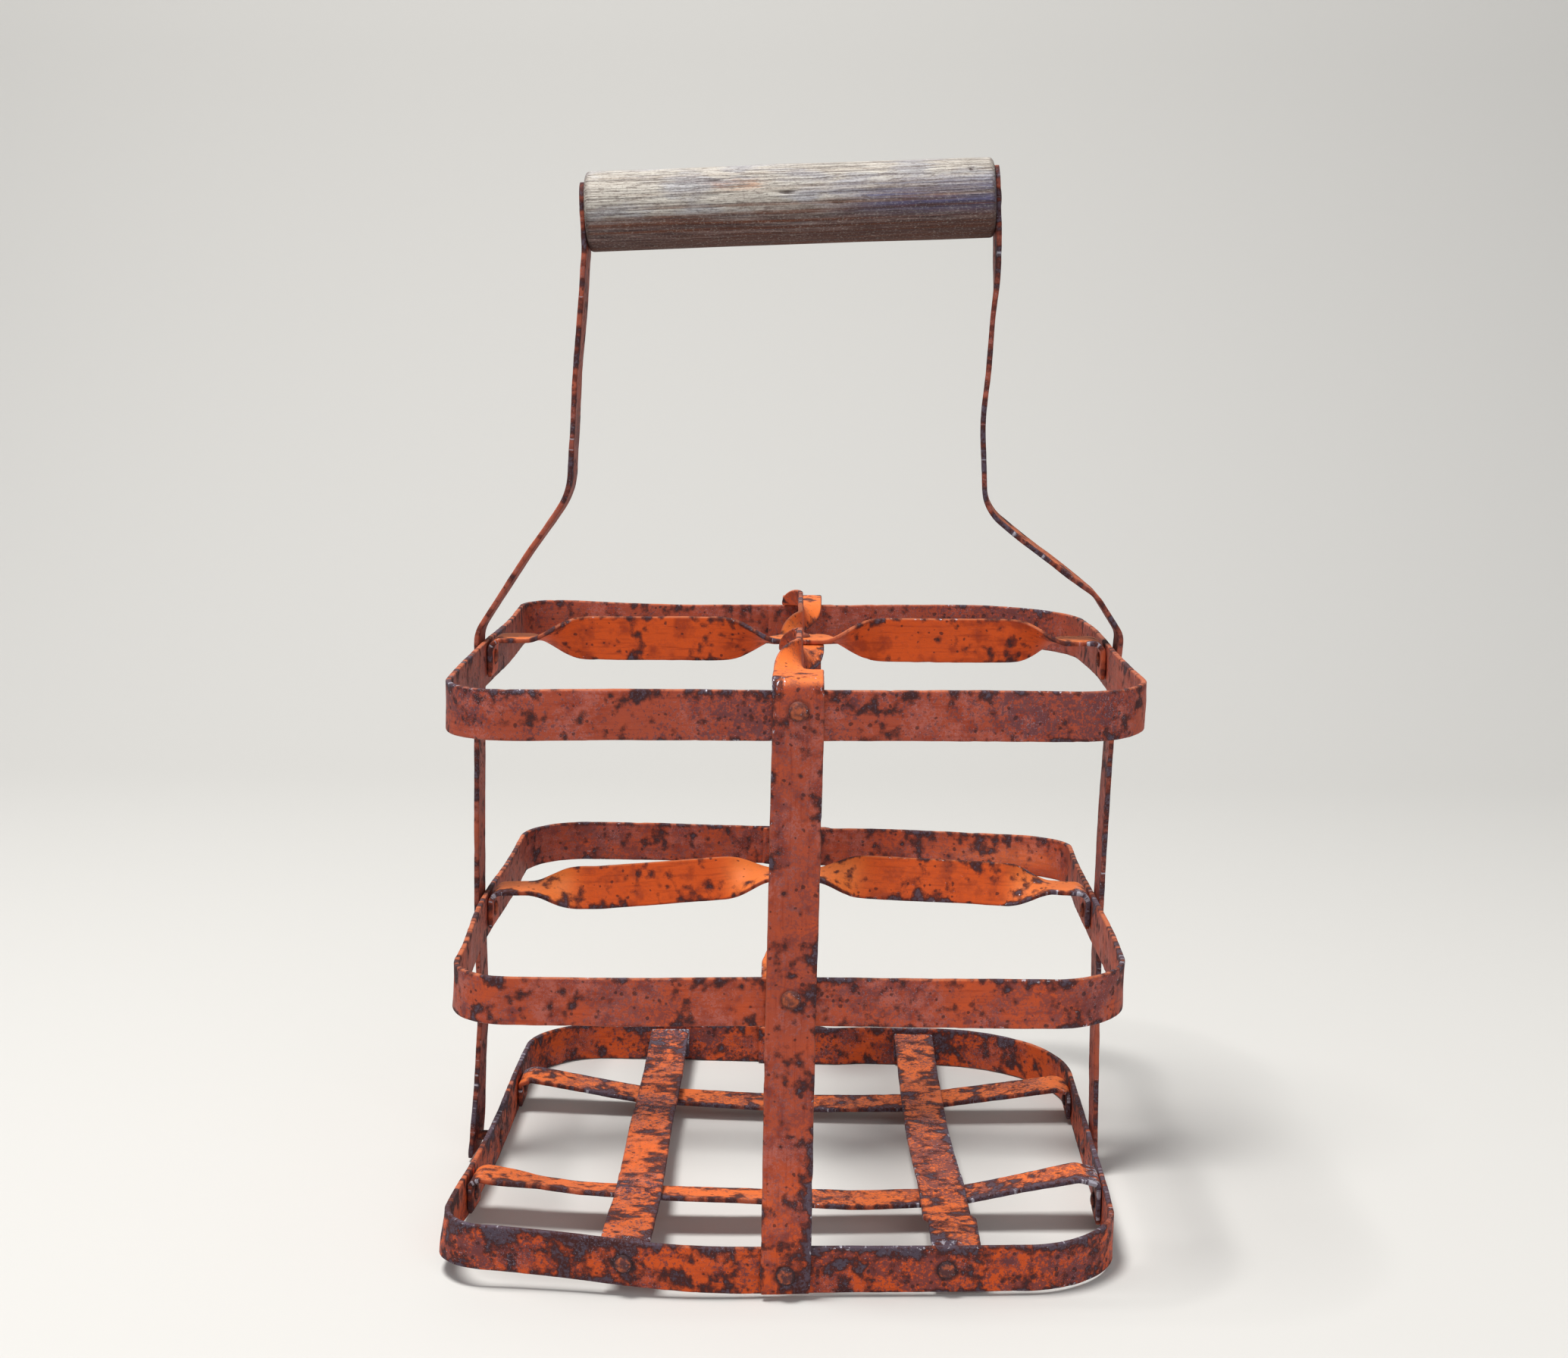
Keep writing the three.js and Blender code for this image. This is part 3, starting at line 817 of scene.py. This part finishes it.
def old_paint(s, t):
    """Bright orange where the paint kept its colour, brick and pink where it faded."""
    patchy = s.sum(s.swing(t.large, 1.0), s.swing(t.middle, 0.5))
    fading = s.rise(s.sum(t.faded, patchy), 0.15, 0.85)
    paint = s.mixed(fading, BRIGHT_PAINT, FADED_PAINT)
    pink = s.times(s.rise(s.sum(t.fine, s.swing(t.large, 0.9)), 0.46, 0.62, 0.5), fading)
    paint = s.mixed(pink, paint, PINK_PAINT)
    deep = s.rise(s.sum(t.middle, s.swing(t.large, 0.9)), 0.47, 0.75, 0.6)
    paint = s.mixed(deep, paint, DEEP_PAINT)
    return s.mixed(s.fall(t.streaks, 0.32, 0.5, 0.45), paint, DEEP_PAINT)


def dirty_paint(s, t):
    """The paint, lighter on its upper faces as painted light, with grime, worn edges, and streaky stains
    and painted shade on faces inside the crate.
    """
    # Painted light: faces that look up are mixed towards a lighter, lit orange, less so on grimy pieces.
    lit = s.times(s.rise(s.upward(), 0.05, 0.8), s.less(0.9, s.times(t.grimy, 0.4)))
    paint = s.mixed(lit, old_paint(s, t), LIT_PAINT)
    grime_spot = s.sum(s.swing(t.fine, 1.0), s.swing(t.grit, 0.5), s.swing(t.middle, 0.5))
    grime = s.rise(s.sum(grime_spot, s.swing(t.region, 0.7)), -0.04, 0.14)
    paint = s.mixed(s.times(grime, t.grimy, 0.85), paint, GRIME)
    # Streaky darkening of faces that look into the crate: partly stains, partly painted shade.
    stain = s.times(t.inside, s.rise(t.streaks, 0.36, 0.62, 0.5))
    paint = s.mixed(s.times(stain, s.blended(t.faded, 0.35, 0.75)), paint, STAIN_AND_SHADE_PAINT)
    return s.mixed(s.fall(t.edge, 0.1, 0.45, 0.55), paint, EDGE_PAINT)


def rust_level(s, t):
    """High in soft patches that gather in some stretches, at bitten edges and down one side."""
    clump = s.cloud(s.scaled(t.strap_spot, (1, 0.8, 1)), 9.0, 1.0, 0.5)
    blobs = s.cloud(t.strap_spot, 3.4, 1.5, 0.5)
    bitten = s.times(s.fall(t.edge, 0.1, 1.6, 0.09), s.rise(t.region, 0.36, 0.56))
    one_side = s.fall(s.parts(t.strap_spot)[0], -6.4, -1.5, 0.085)
    return s.sum(
        s.times(clump, 0.45),
        s.times(blobs, 0.55),
        s.times(t.rusty, 0.1),
        bitten,
        s.times(t.folded, 0.05),
        s.swing(t.fine, 0.13),
        s.swing(t.grit, 0.09),
        s.times(one_side, s.sum(t.rusty, 0.3)),
    )


def rust_spots(s, t):
    """How deep a point lies inside a round spot of rust, in cells, and the cover of small spots."""
    shaken = s.moved(t.spot, s.wander(t.spot, 2.0))
    gap, chance = s.cells(shaken, 5.6)
    size = s.sum(s.times(chance, 0.36), -0.21, s.swing(t.rusty, 0.05))
    depth = s.sum(s.less(size, gap), s.swing(t.fine, 0.12))
    small_gap, small_chance = s.cells(s.moved(shaken, (31, 17, 5)), 1.7)
    scarce = s.less(s.sum(s.times(t.grimy, 0.1), s.swing(t.region, 0.5)), 0.62)
    small_size = s.sum(s.times(small_chance, 0.95), scarce)
    return depth, s.rise(s.less(small_size, small_gap), -0.05, 0.1, 0.8)


def rubbed_metal(s, t, level):
    """Bright metal on rubbed edges and folds, where the paint is near to rust."""
    rubbed = s.cloud(s.scaled(t.strap_spot, (1, 0.5, 1)), 0.8, 4.0, 0.65)
    at_edge = s.fall(t.edge, 0.0, 1.0, 0.08)
    rubbed = s.sum(rubbed, at_edge, s.swing(t.region, 0.34), s.times(t.folded, 0.12))
    return s.times(s.rise(rubbed, 0.7, 0.77), s.rise(level, 0.5, 0.6))


def pale_specks(s, t):
    """Dust and dried lime."""
    specks = s.sum(s.cloud(t.spot, 0.38, 2.0, 0.5), s.swing(t.large, 0.35))
    return s.times(s.rise(specks, 0.64, 0.74, 0.6), t.grimy)


def packed_by_rivets(s, t):
    """Rust packed round the rivets, most where the strap is rusty."""
    gap = s.sum(t.rivet_gap, s.swing(t.middle, 3.0))
    return s.times(s.fall(gap, 2.7, 3.7), s.blended(t.rusty, 0.35, 0.95))


def painted_strap():
    """Old brick-orange paint, faded and stained, over iron that shows through as dark rust."""
    s = Shader("chipped_orange_paint")
    t = strap_textures(s)
    level = rust_level(s, t)
    depth, small_spots = rust_spots(s, t)
    rim = s.most(s.rise(level, 0.555, 0.64), s.rise(depth, -0.14, 0.0))
    rust = s.most(s.rise(level, 0.6, 0.69), s.rise(depth, -0.03, 0.05), small_spots)
    core = s.most(s.rise(level, 0.665, 0.73), s.rise(depth, 0.04, 0.14))
    slate = s.times(core, s.rise(s.sum(t.fine, s.swing(t.region, 0.6)), 0.4, 0.62, 0.9))
    scuffs = rubbed_metal(s, t, level)

    color = s.mixed(s.times(rim, 0.62), dirty_paint(s, t), RUST_RIM)
    color = s.mixed(packed_by_rivets(s, t), color, RUST_BROWN)
    color = s.mixed(s.times(rust, 0.9), color, s.mixed(slate, RUST_BROWN, RUST_SLATE))
    color = s.mixed(s.times(scuffs, 0.85), color, BARE_METAL)
    color = s.mixed(pale_specks(s, t), color, SPECKS)
    roughness = s.blended(rust, s.blended(t.middle, 0.5, 0.72), 0.88)
    roughness = s.blended(scuffs, roughness, 0.42)
    height = s.sum(
        s.times(rust, -0.45),
        s.times(s.most(rim, rust), -0.12),
        s.times(t.streaks, 0.1),
        s.times(t.middle, 0.4),
        s.times(t.grit, s.blended(rust, 0.18, 0.5)),
        s.times(t.fine, 0.22),
    )
    return s.finish(color, roughness, height, 0.26 * MM, s.times(scuffs, 0.6), 0.22)


def painted_rivets():
    """The same paint, worn brown on the dome, with rust packed round the rim."""
    s = Shader("worn_rivet_paint")
    spot = s.place()
    middle = s.cloud(spot, 1.6, 4.0)
    grit = s.cloud(spot, 0.5)
    rusty = s.number("rusty")
    paint = s.mixed(s.rise(middle, 0.4, 0.62), tint(168, 84, 52), tint(116, 60, 48))
    paint = s.mixed(s.times(rusty, s.rise(middle, 0.34, 0.56, 0.9)), paint, tint(82, 48, 50))
    ring = s.rise(s.sum(s.number("rim"), s.swing(middle, 0.5)), 0.66, 0.88)
    packed = s.mixed(s.rise(grit, 0.5, 0.7, 0.6), RUST_BROWN, RUST_SLATE)
    color = s.mixed(s.times(ring, s.blended(rusty, 0.45, 1.0)), paint, packed)
    shine = s.times(s.rise(grit, 0.6, 0.7), s.rise(middle, 0.5, 0.6, 0.6))
    color = s.mixed(shine, color, BARE_METAL)
    height = s.sum(s.times(middle, 0.6), s.times(grit, 0.3))
    roughness = s.blended(middle, 0.5, 0.8)
    return s.finish(color, roughness, height, 0.25 * MM, s.times(shine, 0.6), 0.25)


def worn_steel():
    """A rod end gone brown."""
    s = Shader("brown_rod_steel")
    spot = s.place()
    middle = s.cloud(spot, 1.5, 4.0)
    grit = s.cloud(spot, 0.5)
    color = s.mixed(s.rise(middle, 0.38, 0.62), tint(84, 66, 66), tint(120, 112, 114))
    color = s.mixed(s.rise(grit, 0.5, 0.66), color, RUST_BROWN)
    metallic = s.rise(middle, 0.45, 0.6, 0.7)
    return s.finish(color, s.blended(grit, 0.4, 0.8), s.sum(middle, grit), 0.2 * MM, metallic)


# The knot's middle along the grip, back and up.
KNOT_SPOT = (-15, -10.2, 5.6)


def wood_textures(s):
    """The clouds of the wood, most of them drawn out along the grain."""
    grain = s.vector("grain")
    wavy = s.moved(grain, s.scaled(s.wander(grain, 40.0), (0, 0.9, 0.9)))
    t = SimpleNamespace(grain=grain)
    t.along, _, t.up = s.parts(grain)
    t.fibres = s.cloud(s.scaled(wavy, (0.035, 1, 1)), 0.36, 3.0, 0.6)
    t.bands = s.cloud(s.scaled(wavy, (0.01, 1, 1)), 1.5, 2.0, 0.5)
    t.lines = s.cloud(s.scaled(wavy, (0.012, 1, 1)), 0.55, 1.0, 0.5)
    t.pores = s.cloud(s.scaled(grain, (0.13, 1, 1)), 0.52, 2.0, 0.5)
    t.blotch = s.cloud(s.scaled(grain, (0.3, 1, 1)), 6.0, 4.0, 0.6)
    t.speckle = s.cloud(s.scaled(grain, (0.6, 1, 1)), 0.45, 3.0, 0.65)
    return t


def weathered_and_shaded(s, t):
    """Silver grey on top and brown underneath, more so to the right: partly the wood's own weathered
    colour, partly painted shade that darkens it towards the bottom.
    """
    pale = s.mixed(s.rise(t.fibres, 0.36, 0.62), tint(160, 152, 143), tint(190, 185, 176))
    pale = s.mixed(s.rise(t.blotch, 0.46, 0.62, 0.45), pale, tint(160, 164, 178))
    pale = s.mixed(s.fall(t.bands, 0.36, 0.5, 0.28), pale, tint(150, 132, 116))
    dark = s.mixed(s.rise(t.fibres, 0.34, 0.66), tint(76, 56, 54), tint(126, 104, 98))
    dark = s.mixed(s.fall(t.bands, 0.38, 0.54, 0.75), dark, tint(108, 62, 40))
    # Painted shade: the mix runs from the pale wood on top to the dark wood and the darkest brown
    # underneath.
    under = s.sum(t.up, s.swing(t.blotch, 9.0), s.swing(t.bands, 12.0))
    under = s.less(under, s.rise(t.along, -10.0, 50.0, 2.4))
    color = s.mixed(s.fall(under, -6.5, 1.5), pale, dark)
    return s.mixed(s.fall(under, -10.5, -6.0, 0.6), color, tint(78, 46, 34))


def stained_and_knotted(s, t, color):
    """A blue-grey stain at mid height to the right, and a brown knot left of the middle."""
    right_end = s.rise(s.sum(t.along, s.swing(t.blotch, 40.0)), 2.0, 34.0)
    mid_height = s.times(s.rise(t.up, -6.0, -1.0), s.fall(t.up, 1.0, 8.0))
    stain = s.times(right_end, mid_height, s.rise(t.bands, 0.3, 0.5, 0.9))
    color = s.mixed(stain, color, tint(78, 76, 112))
    from_knot = s.moved(t.grain, tuple(-part for part in KNOT_SPOT))
    knot_gap = s.sum(s.length(s.scaled(from_knot, (0.22, 1, 1))), s.swing(t.pores, 3.0))
    knot = s.times(s.fall(knot_gap, 0.6, 2.4, 0.7), s.rise(t.fibres, 0.36, 0.56))
    return s.mixed(knot, color, tint(168, 108, 62))


def weathered_wood():
    """Grey sun-bleached wood on top, darker brown underneath: partly the wood's own weathering, partly
    painted shade from light above.
    """
    s = Shader("weathered_grip_wood")
    t = wood_textures(s)
    color = stained_and_knotted(s, t, weathered_and_shaded(s, t))
    dark_lines = s.rise(s.sum(t.lines, s.swing(t.blotch, 0.4)), 0.575, 0.62)
    pore_lines = s.rise(t.pores, 0.58, 0.66)
    for amount, mark in (
        (s.times(dark_lines, 0.45), tint(74, 58, 58)),
        (s.times(pore_lines, 0.45), tint(92, 74, 68)),
        (s.fall(t.speckle, 0.36, 0.5, 0.35), tint(78, 62, 64)),
        (s.rise(t.speckle, 0.54, 0.66, 0.25), tint(196, 192, 186)),
        (s.rise(s.number("pressed"), 0.08, 0.45, 0.7), tint(66, 50, 50)),
        (s.fall(s.number("end_gap"), 0.2, 2.2, 0.5), tint(78, 62, 58)),
    ):
        color = s.mixed(amount, color, mark)
    height = s.sum(
        s.times(t.fibres, 0.6),
        s.times(t.bands, 0.4),
        s.times(dark_lines, -0.8),
        s.times(pore_lines, -0.4),
        s.times(t.speckle, 0.15),
    )
    return s.finish(color, s.blended(t.fibres, 0.66, 0.88), height, 0.4 * MM, specular=0.25)


MATERIALS["painted_strap"] = painted_strap()
MATERIALS["painted_rivets"] = painted_rivets()
MATERIALS["worn_steel"] = worn_steel()
MATERIALS["weathered_wood"] = weathered_wood()


# Hoops and uprights -----

def hoop(level, radii, **looks):
    """A hoop bent by hand; radii are its corners' from back left round by the front."""
    corners = [
        (LAP_HALF, HOOP_LINE),
        (-HOOP_LINE, HOOP_LINE, radii[0]),
        (-HOOP_LINE, -HOOP_LINE, radii[1]),
        (HOOP_LINE, -HOOP_LINE, radii[2]),
        (HOOP_LINE, HOOP_LINE, radii[3]),
        (LAP_HALF + 14, HOOP_LINE, 8),
        (LAP_HALF + 3, TAB_LINE, 8),
        (-LAP_HALF, TAB_LINE),
    ]
    origin = (0, 0, HOOP_TOPS[level] - HALF_WIDTH)
    strap(f"{level}_hoop", corners, "level", origin, **looks)


def rusty_and_shaded_base(middle):
    """The base hoop stood in the wet and is rusty; towards its left front corner the rust is heavier,
    partly as painted shade.
    """
    x, y = middle[:, 0], middle[:, 1]
    return 0.7 + 0.4 * smoothstep(-x, 0, 70) * smoothstep(-y, 50, 90)


def front_back_strap():
    """Front upright, top front-to-back divider and back upright in one strap."""
    fold, dip = 168.3, 164.4
    corners = [
        (-UPRIGHT_LINE, STRAP_FOOT),
        (-UPRIGHT_LINE, fold, SHARP_BEND),
        (-44, fold, 40),
        (-CROSSING_HALF, dip, 20),
        (CROSSING_HALF, dip, 20),
        (44, fold - 2, 40),
        (UPRIGHT_LINE, fold, SHARP_BEND),
        (UPRIGHT_LINE, STRAP_FOOT),
    ]
    looks = {"faded": faded_upright, "grimy": 0.5, "rusty": rusty_upright}
    strap("front_back_strap", corners, "front_to_back", twist=edge_twist(1), **looks)


def faded_upright(middle):
    """The paint has faded most on the faces that stand in the weather."""
    outside = smoothstep(np.abs(middle[:, 1]), 92.7, 94.8)
    return 0.8 * outside * (0.5 + 0.5 * smoothstep(middle[:, 2], 8, 60)) + 0.05


def rusty_upright(middle):
    """The uprights rust from the foot up."""
    return 0.15 + 0.6 * (1 - smoothstep(middle[:, 2], 18, 64))


# Dividers -----

def divider(node, plane, left, right, crossing, twist, far=TAB_LINE, **looks):
    """A divider through its two ends, each (height of the fold, height at 60 mm out)."""
    corners = [
        (-TAB_LINE, left[0] - TAB_LENGTH),
        (-TAB_LINE, left[0], TAB_BEND),
        (-60, left[1], 60),
        (-CROSSING_HALF, crossing, 60),
        (CROSSING_HALF, crossing, 60),
        (60, right[1], 60),
        (far, right[0], TAB_BEND),
        (far, right[0] - TAB_LENGTH),
    ]
    strap(node, corners, plane, twist=twist, **looks)


def riveted_askew(middle):
    """The middle long divider's front end is riveted a little to the left."""
    to_left = 1.35 * smoothstep(-middle[:, 1], 74, 84)
    return to_left, np.zeros(len(middle))


# Base slats -----

SLAT_FOOT = 1.5
# A slat's tab bends this far below the first corner of its line.
SLAT_DROP = 1.5
SLAT_BEND = 1.2
LONG_SLAT_LINE = [(-90, 11.8, 3), (-56, 10.9, 30), (0, 9.4, 120), (50, 9.0, 60), (90, 11.6, 3)]
CROSS_SLAT_LINES = {
    "front": [
        (-89.5, 12.2, 4), (-60, 9.2, 60), (-15, 8.3, 60), (20, 6.4, 90), (48, 7.4, 60), (86, 14.6, 6),
    ],
    "back": [(-88, 10.6, 4), (-50, 5.2, 60), (0, 3.6, 90), (40, 4.5, 60), (88, 11.6, 5)],
}


def slat(node, plane, origin, line, **looks):
    """A slat with both ends bent down inside the base hoop; line is the rest of its corners."""
    corners = [
        (-TAB_LINE, SLAT_FOOT),
        (-TAB_LINE, line[0][1] - SLAT_DROP, SLAT_BEND),
        *line,
        (TAB_LINE, line[-1][1] - SLAT_DROP, SLAT_BEND),
        (TAB_LINE, SLAT_FOOT),
    ]
    strap(node, corners, plane, origin, **looks)


def slumped(distance):
    """The front cross slat has been trodden down along its back edge."""
    along = distance - distance[-1] / 2
    left = smoothstep(along, -88, -70) - smoothstep(along, -8, 10)
    right = smoothstep(along, -8, 10) - smoothstep(along, 66, 84)
    return -np.radians(9.5 * left + 3.5 * right)


def over_crossings(lean, jog):
    """A long slat is hammered up where it steps over the cross slats.

    lean and jog shift its front half and its front end sideways."""
    def drift(middle):
        y = middle[:, 1]
        level = smoothstep(middle[:, 2], 6, 9)
        humps = sum(
            height * (smoothstep(y, at - 9, at - 6.5) - smoothstep(y, at + 6.5, at + 9))
            for at, height in ((-SLAT_OFFSET, 0.7), (SLAT_OFFSET, 0.45))
        )
        return -lean * smoothstep(-y, -10, 70) - jog * smoothstep(-y, 69, 72.5), humps * level
    return drift


# Side straps -----

def arm_point(side, height):
    """A point of a side strap's line beside the grip's end, this far above the grip's axis."""
    from_centre = GRIP_LENGTH / 2 + 0.2 + HALF_THICK
    spot = GRIP_CENTRE + side * from_centre * GRIP_AXIS + height * GRIP_UP
    return spot[0], spot[2]


def side_strap(name, side, corners, tip, twist):
    """A side strap through corners, and up past the grip's end to tip above the grip's axis."""
    corners = [*corners, (*arm_point(side, -GRIP_RADIUS), 30), arm_point(side, tip)]
    looks = {"faded": 0.8, "grimy": 0.8, "rusty": 0.3}
    strap(name, corners, "left_to_right", twist=twist, tip=True, wobble=0.4, **looks)


def loose_foot(distance):
    """The left side strap's foot has sprung away from the base hoop and turned."""
    return -0.07 * (1 - smoothstep(distance, 8, 30))


def seen_on_edge(distance):
    """The right side strap's arm is twisted a little between the hoop and the grip."""
    return -0.085 * (smoothstep(distance, 176, 196) - smoothstep(distance, 284, 300))


# The crate -----

hoop("top", (14, 20, 23, 38), faded=1.0, grimy=0.85, rusty=0.25)
hoop("middle", (20, 18, 22, 20), faded=0.7, grimy=0.6, rusty=0.3)
hoop("base", (26, 13, 26, 44), faded=0.35, grimy=0.9, rusty=rusty_and_shaded_base)
front_back_strap()
divider(
    "top_cross_divider", "left_to_right", (166.1, 166.1), (166.1, 166.1), 166.1, edge_twist(-1, 4),
    faded=0.0, grimy=0.12, rusty=0.1,
)
divider(
    "middle_cross_divider", "left_to_right", (87.6, 88.2), (88.2, 89.8), 92.3, edge_twist(1, 12),
    faded=0.1, grimy=0.12, rusty=0.2,
)
divider(
    "middle_long_divider", "front_to_back", (88.2, 89.1), (88.2, 89.1), 90.6, edge_twist(1),
    far=TAB_LINE - LAYER, drift=riveted_askew, faded=0.1, grimy=0.3, rusty=0.3,
)
# The left long slat gets more fade and grime than the right: painted shade, where a bottle's shadow fell on
# it.
for end_name, sign, lean, jog, fade_and_shade in (("left", -1, 0.4, 0.0, 0.4), ("right", 1, 1.2, 1.5, 0.15)):
    slat(
        f"base_long_slat_{end_name}", "front_to_back", (sign * SLAT_OFFSET, 0, 0), LONG_SLAT_LINE,
        drift=over_crossings(lean, jog), wear=0.75, faded=fade_and_shade, grimy=0.8 + fade_and_shade, rusty=0.8,
    )
for end_name, sign, twist in (("front", -1, slumped), ("back", 1, None)):
    slat(
        f"base_cross_slat_{end_name}", "left_to_right", (0, sign * SLAT_OFFSET, 0),
        CROSS_SLAT_LINES[end_name], twist=twist, faded=0.15, grimy=0.8, rusty=0.62,
    )
side_strap(
    "left_side_strap",
    -1,
    [(-100.6, STRAP_FOOT), (-98.8, 19, 30), (-95.8, 46, 50), (-95.5, 168.4, 10), (-67.9, 210.2, 22)],
    8.6,
    loose_foot,
)
side_strap(
    "right_side_strap",
    1,
    [
        (95.5, STRAP_FOOT), (95.5, 156, 10), (96.9, 168.6, 6), (89.5, 180.7, 14), (56.2, 206.2, 12),
        (55.7, 229, 90), (59.3, 272, 60),
    ],
    9.2,
    seen_on_edge,
)
for rivet_node in RIVET_NODES:
    rivet(rivet_node)
grip()
rod()


# Floor, light and camera, in metres -----

def studio():
    """A pale floor that curves up into a pale wall."""
    front, back, half_width, height, radius = -3.0, 1.1, 3.5, 2.6, 0.5
    curve = back - radius
    profile = [(front, 0.0), (curve, 0.0)]
    for t in np.radians(np.linspace(0, 90, 24))[1:]:
        profile.append((curve + radius * math.sin(t), radius * (1 - math.cos(t))))
    profile.append((back, height))
    points = [(x, y, z) for y, z in profile for x in (-half_width, half_width)]
    faces = [(2 * i, 2 * i + 1, 2 * i + 3, 2 * i + 2) for i in range(len(profile) - 1)]
    mesh = bpy.data.meshes.new("studio_sweep")
    mesh.from_pydata(points, [], faces)
    mesh.polygons.foreach_set("use_smooth", [True] * len(faces))
    s = Shader("pale_sweep")
    s.surface.inputs["Base Color"].default_value = tint(201, 200, 197)
    s.surface.inputs["Roughness"].default_value = 0.9
    mesh.materials.append(s.material)
    added("studio_sweep", mesh)


def soft_light(name, place, aim, size, power, color):
    data = bpy.data.lights.new(name, "AREA")
    data.shape = "DISK"
    data.size = size
    data.energy = power
    data.color = color
    light = added(name, data)
    light.location = place
    light.rotation_mode = "QUATERNION"
    light.rotation_quaternion = (Vector(aim) - Vector(place)).to_track_quat("-Z", "Y")


def world(color, strength):
    sky = bpy.data.worlds.new("pale_room")
    sky.use_nodes = True
    background = sky.node_tree.nodes["Background"]
    background.inputs["Color"].default_value = color
    background.inputs["Strength"].default_value = strength
    bpy.context.scene.world = sky


def camera():
    """The camera where the photographer stood, turned by pitch, pan and roll in radians."""
    place = Vector((5.91, -611.56, 247.34)) * MM
    pitch, pan, roll = 0.15133, -0.01381, 0.00784
    level = math.cos(pitch)
    forward = Vector((math.sin(pan) * level, math.cos(pan) * level, -math.sin(pitch)))
    right = Vector((math.cos(pan), -math.sin(pan), 0))
    up = right.cross(forward)
    across = right * math.cos(roll) + up * math.sin(roll)
    upward = up * math.cos(roll) - right * math.sin(roll)
    axes = Matrix((across, upward, -forward)).transposed()
    data = bpy.data.cameras.new("photo_camera")
    data.sensor_width = 36
    data.lens = 46.7
    data.clip_start = 0.01
    data.clip_end = 50
    eye = added("photo_camera", data)
    eye.matrix_world = Matrix.Translation(place) @ axes.to_4x4()
    bpy.context.scene.camera = eye


studio()
soft_light("overhead", (-0.35, -0.2, 1.6), (0, 0, 0.1), 0.5, 31, (1.0, 0.985, 0.96))
soft_light("window", (0.5, -1.4, 0.8), (0, 0, 0.12), 1.2, 6.5, (1.0, 0.99, 0.98))
world((0.95, 0.965, 1.0, 1.0), 0.36)
camera()
bpy.context.scene.view_settings.view_transform = "Standard"
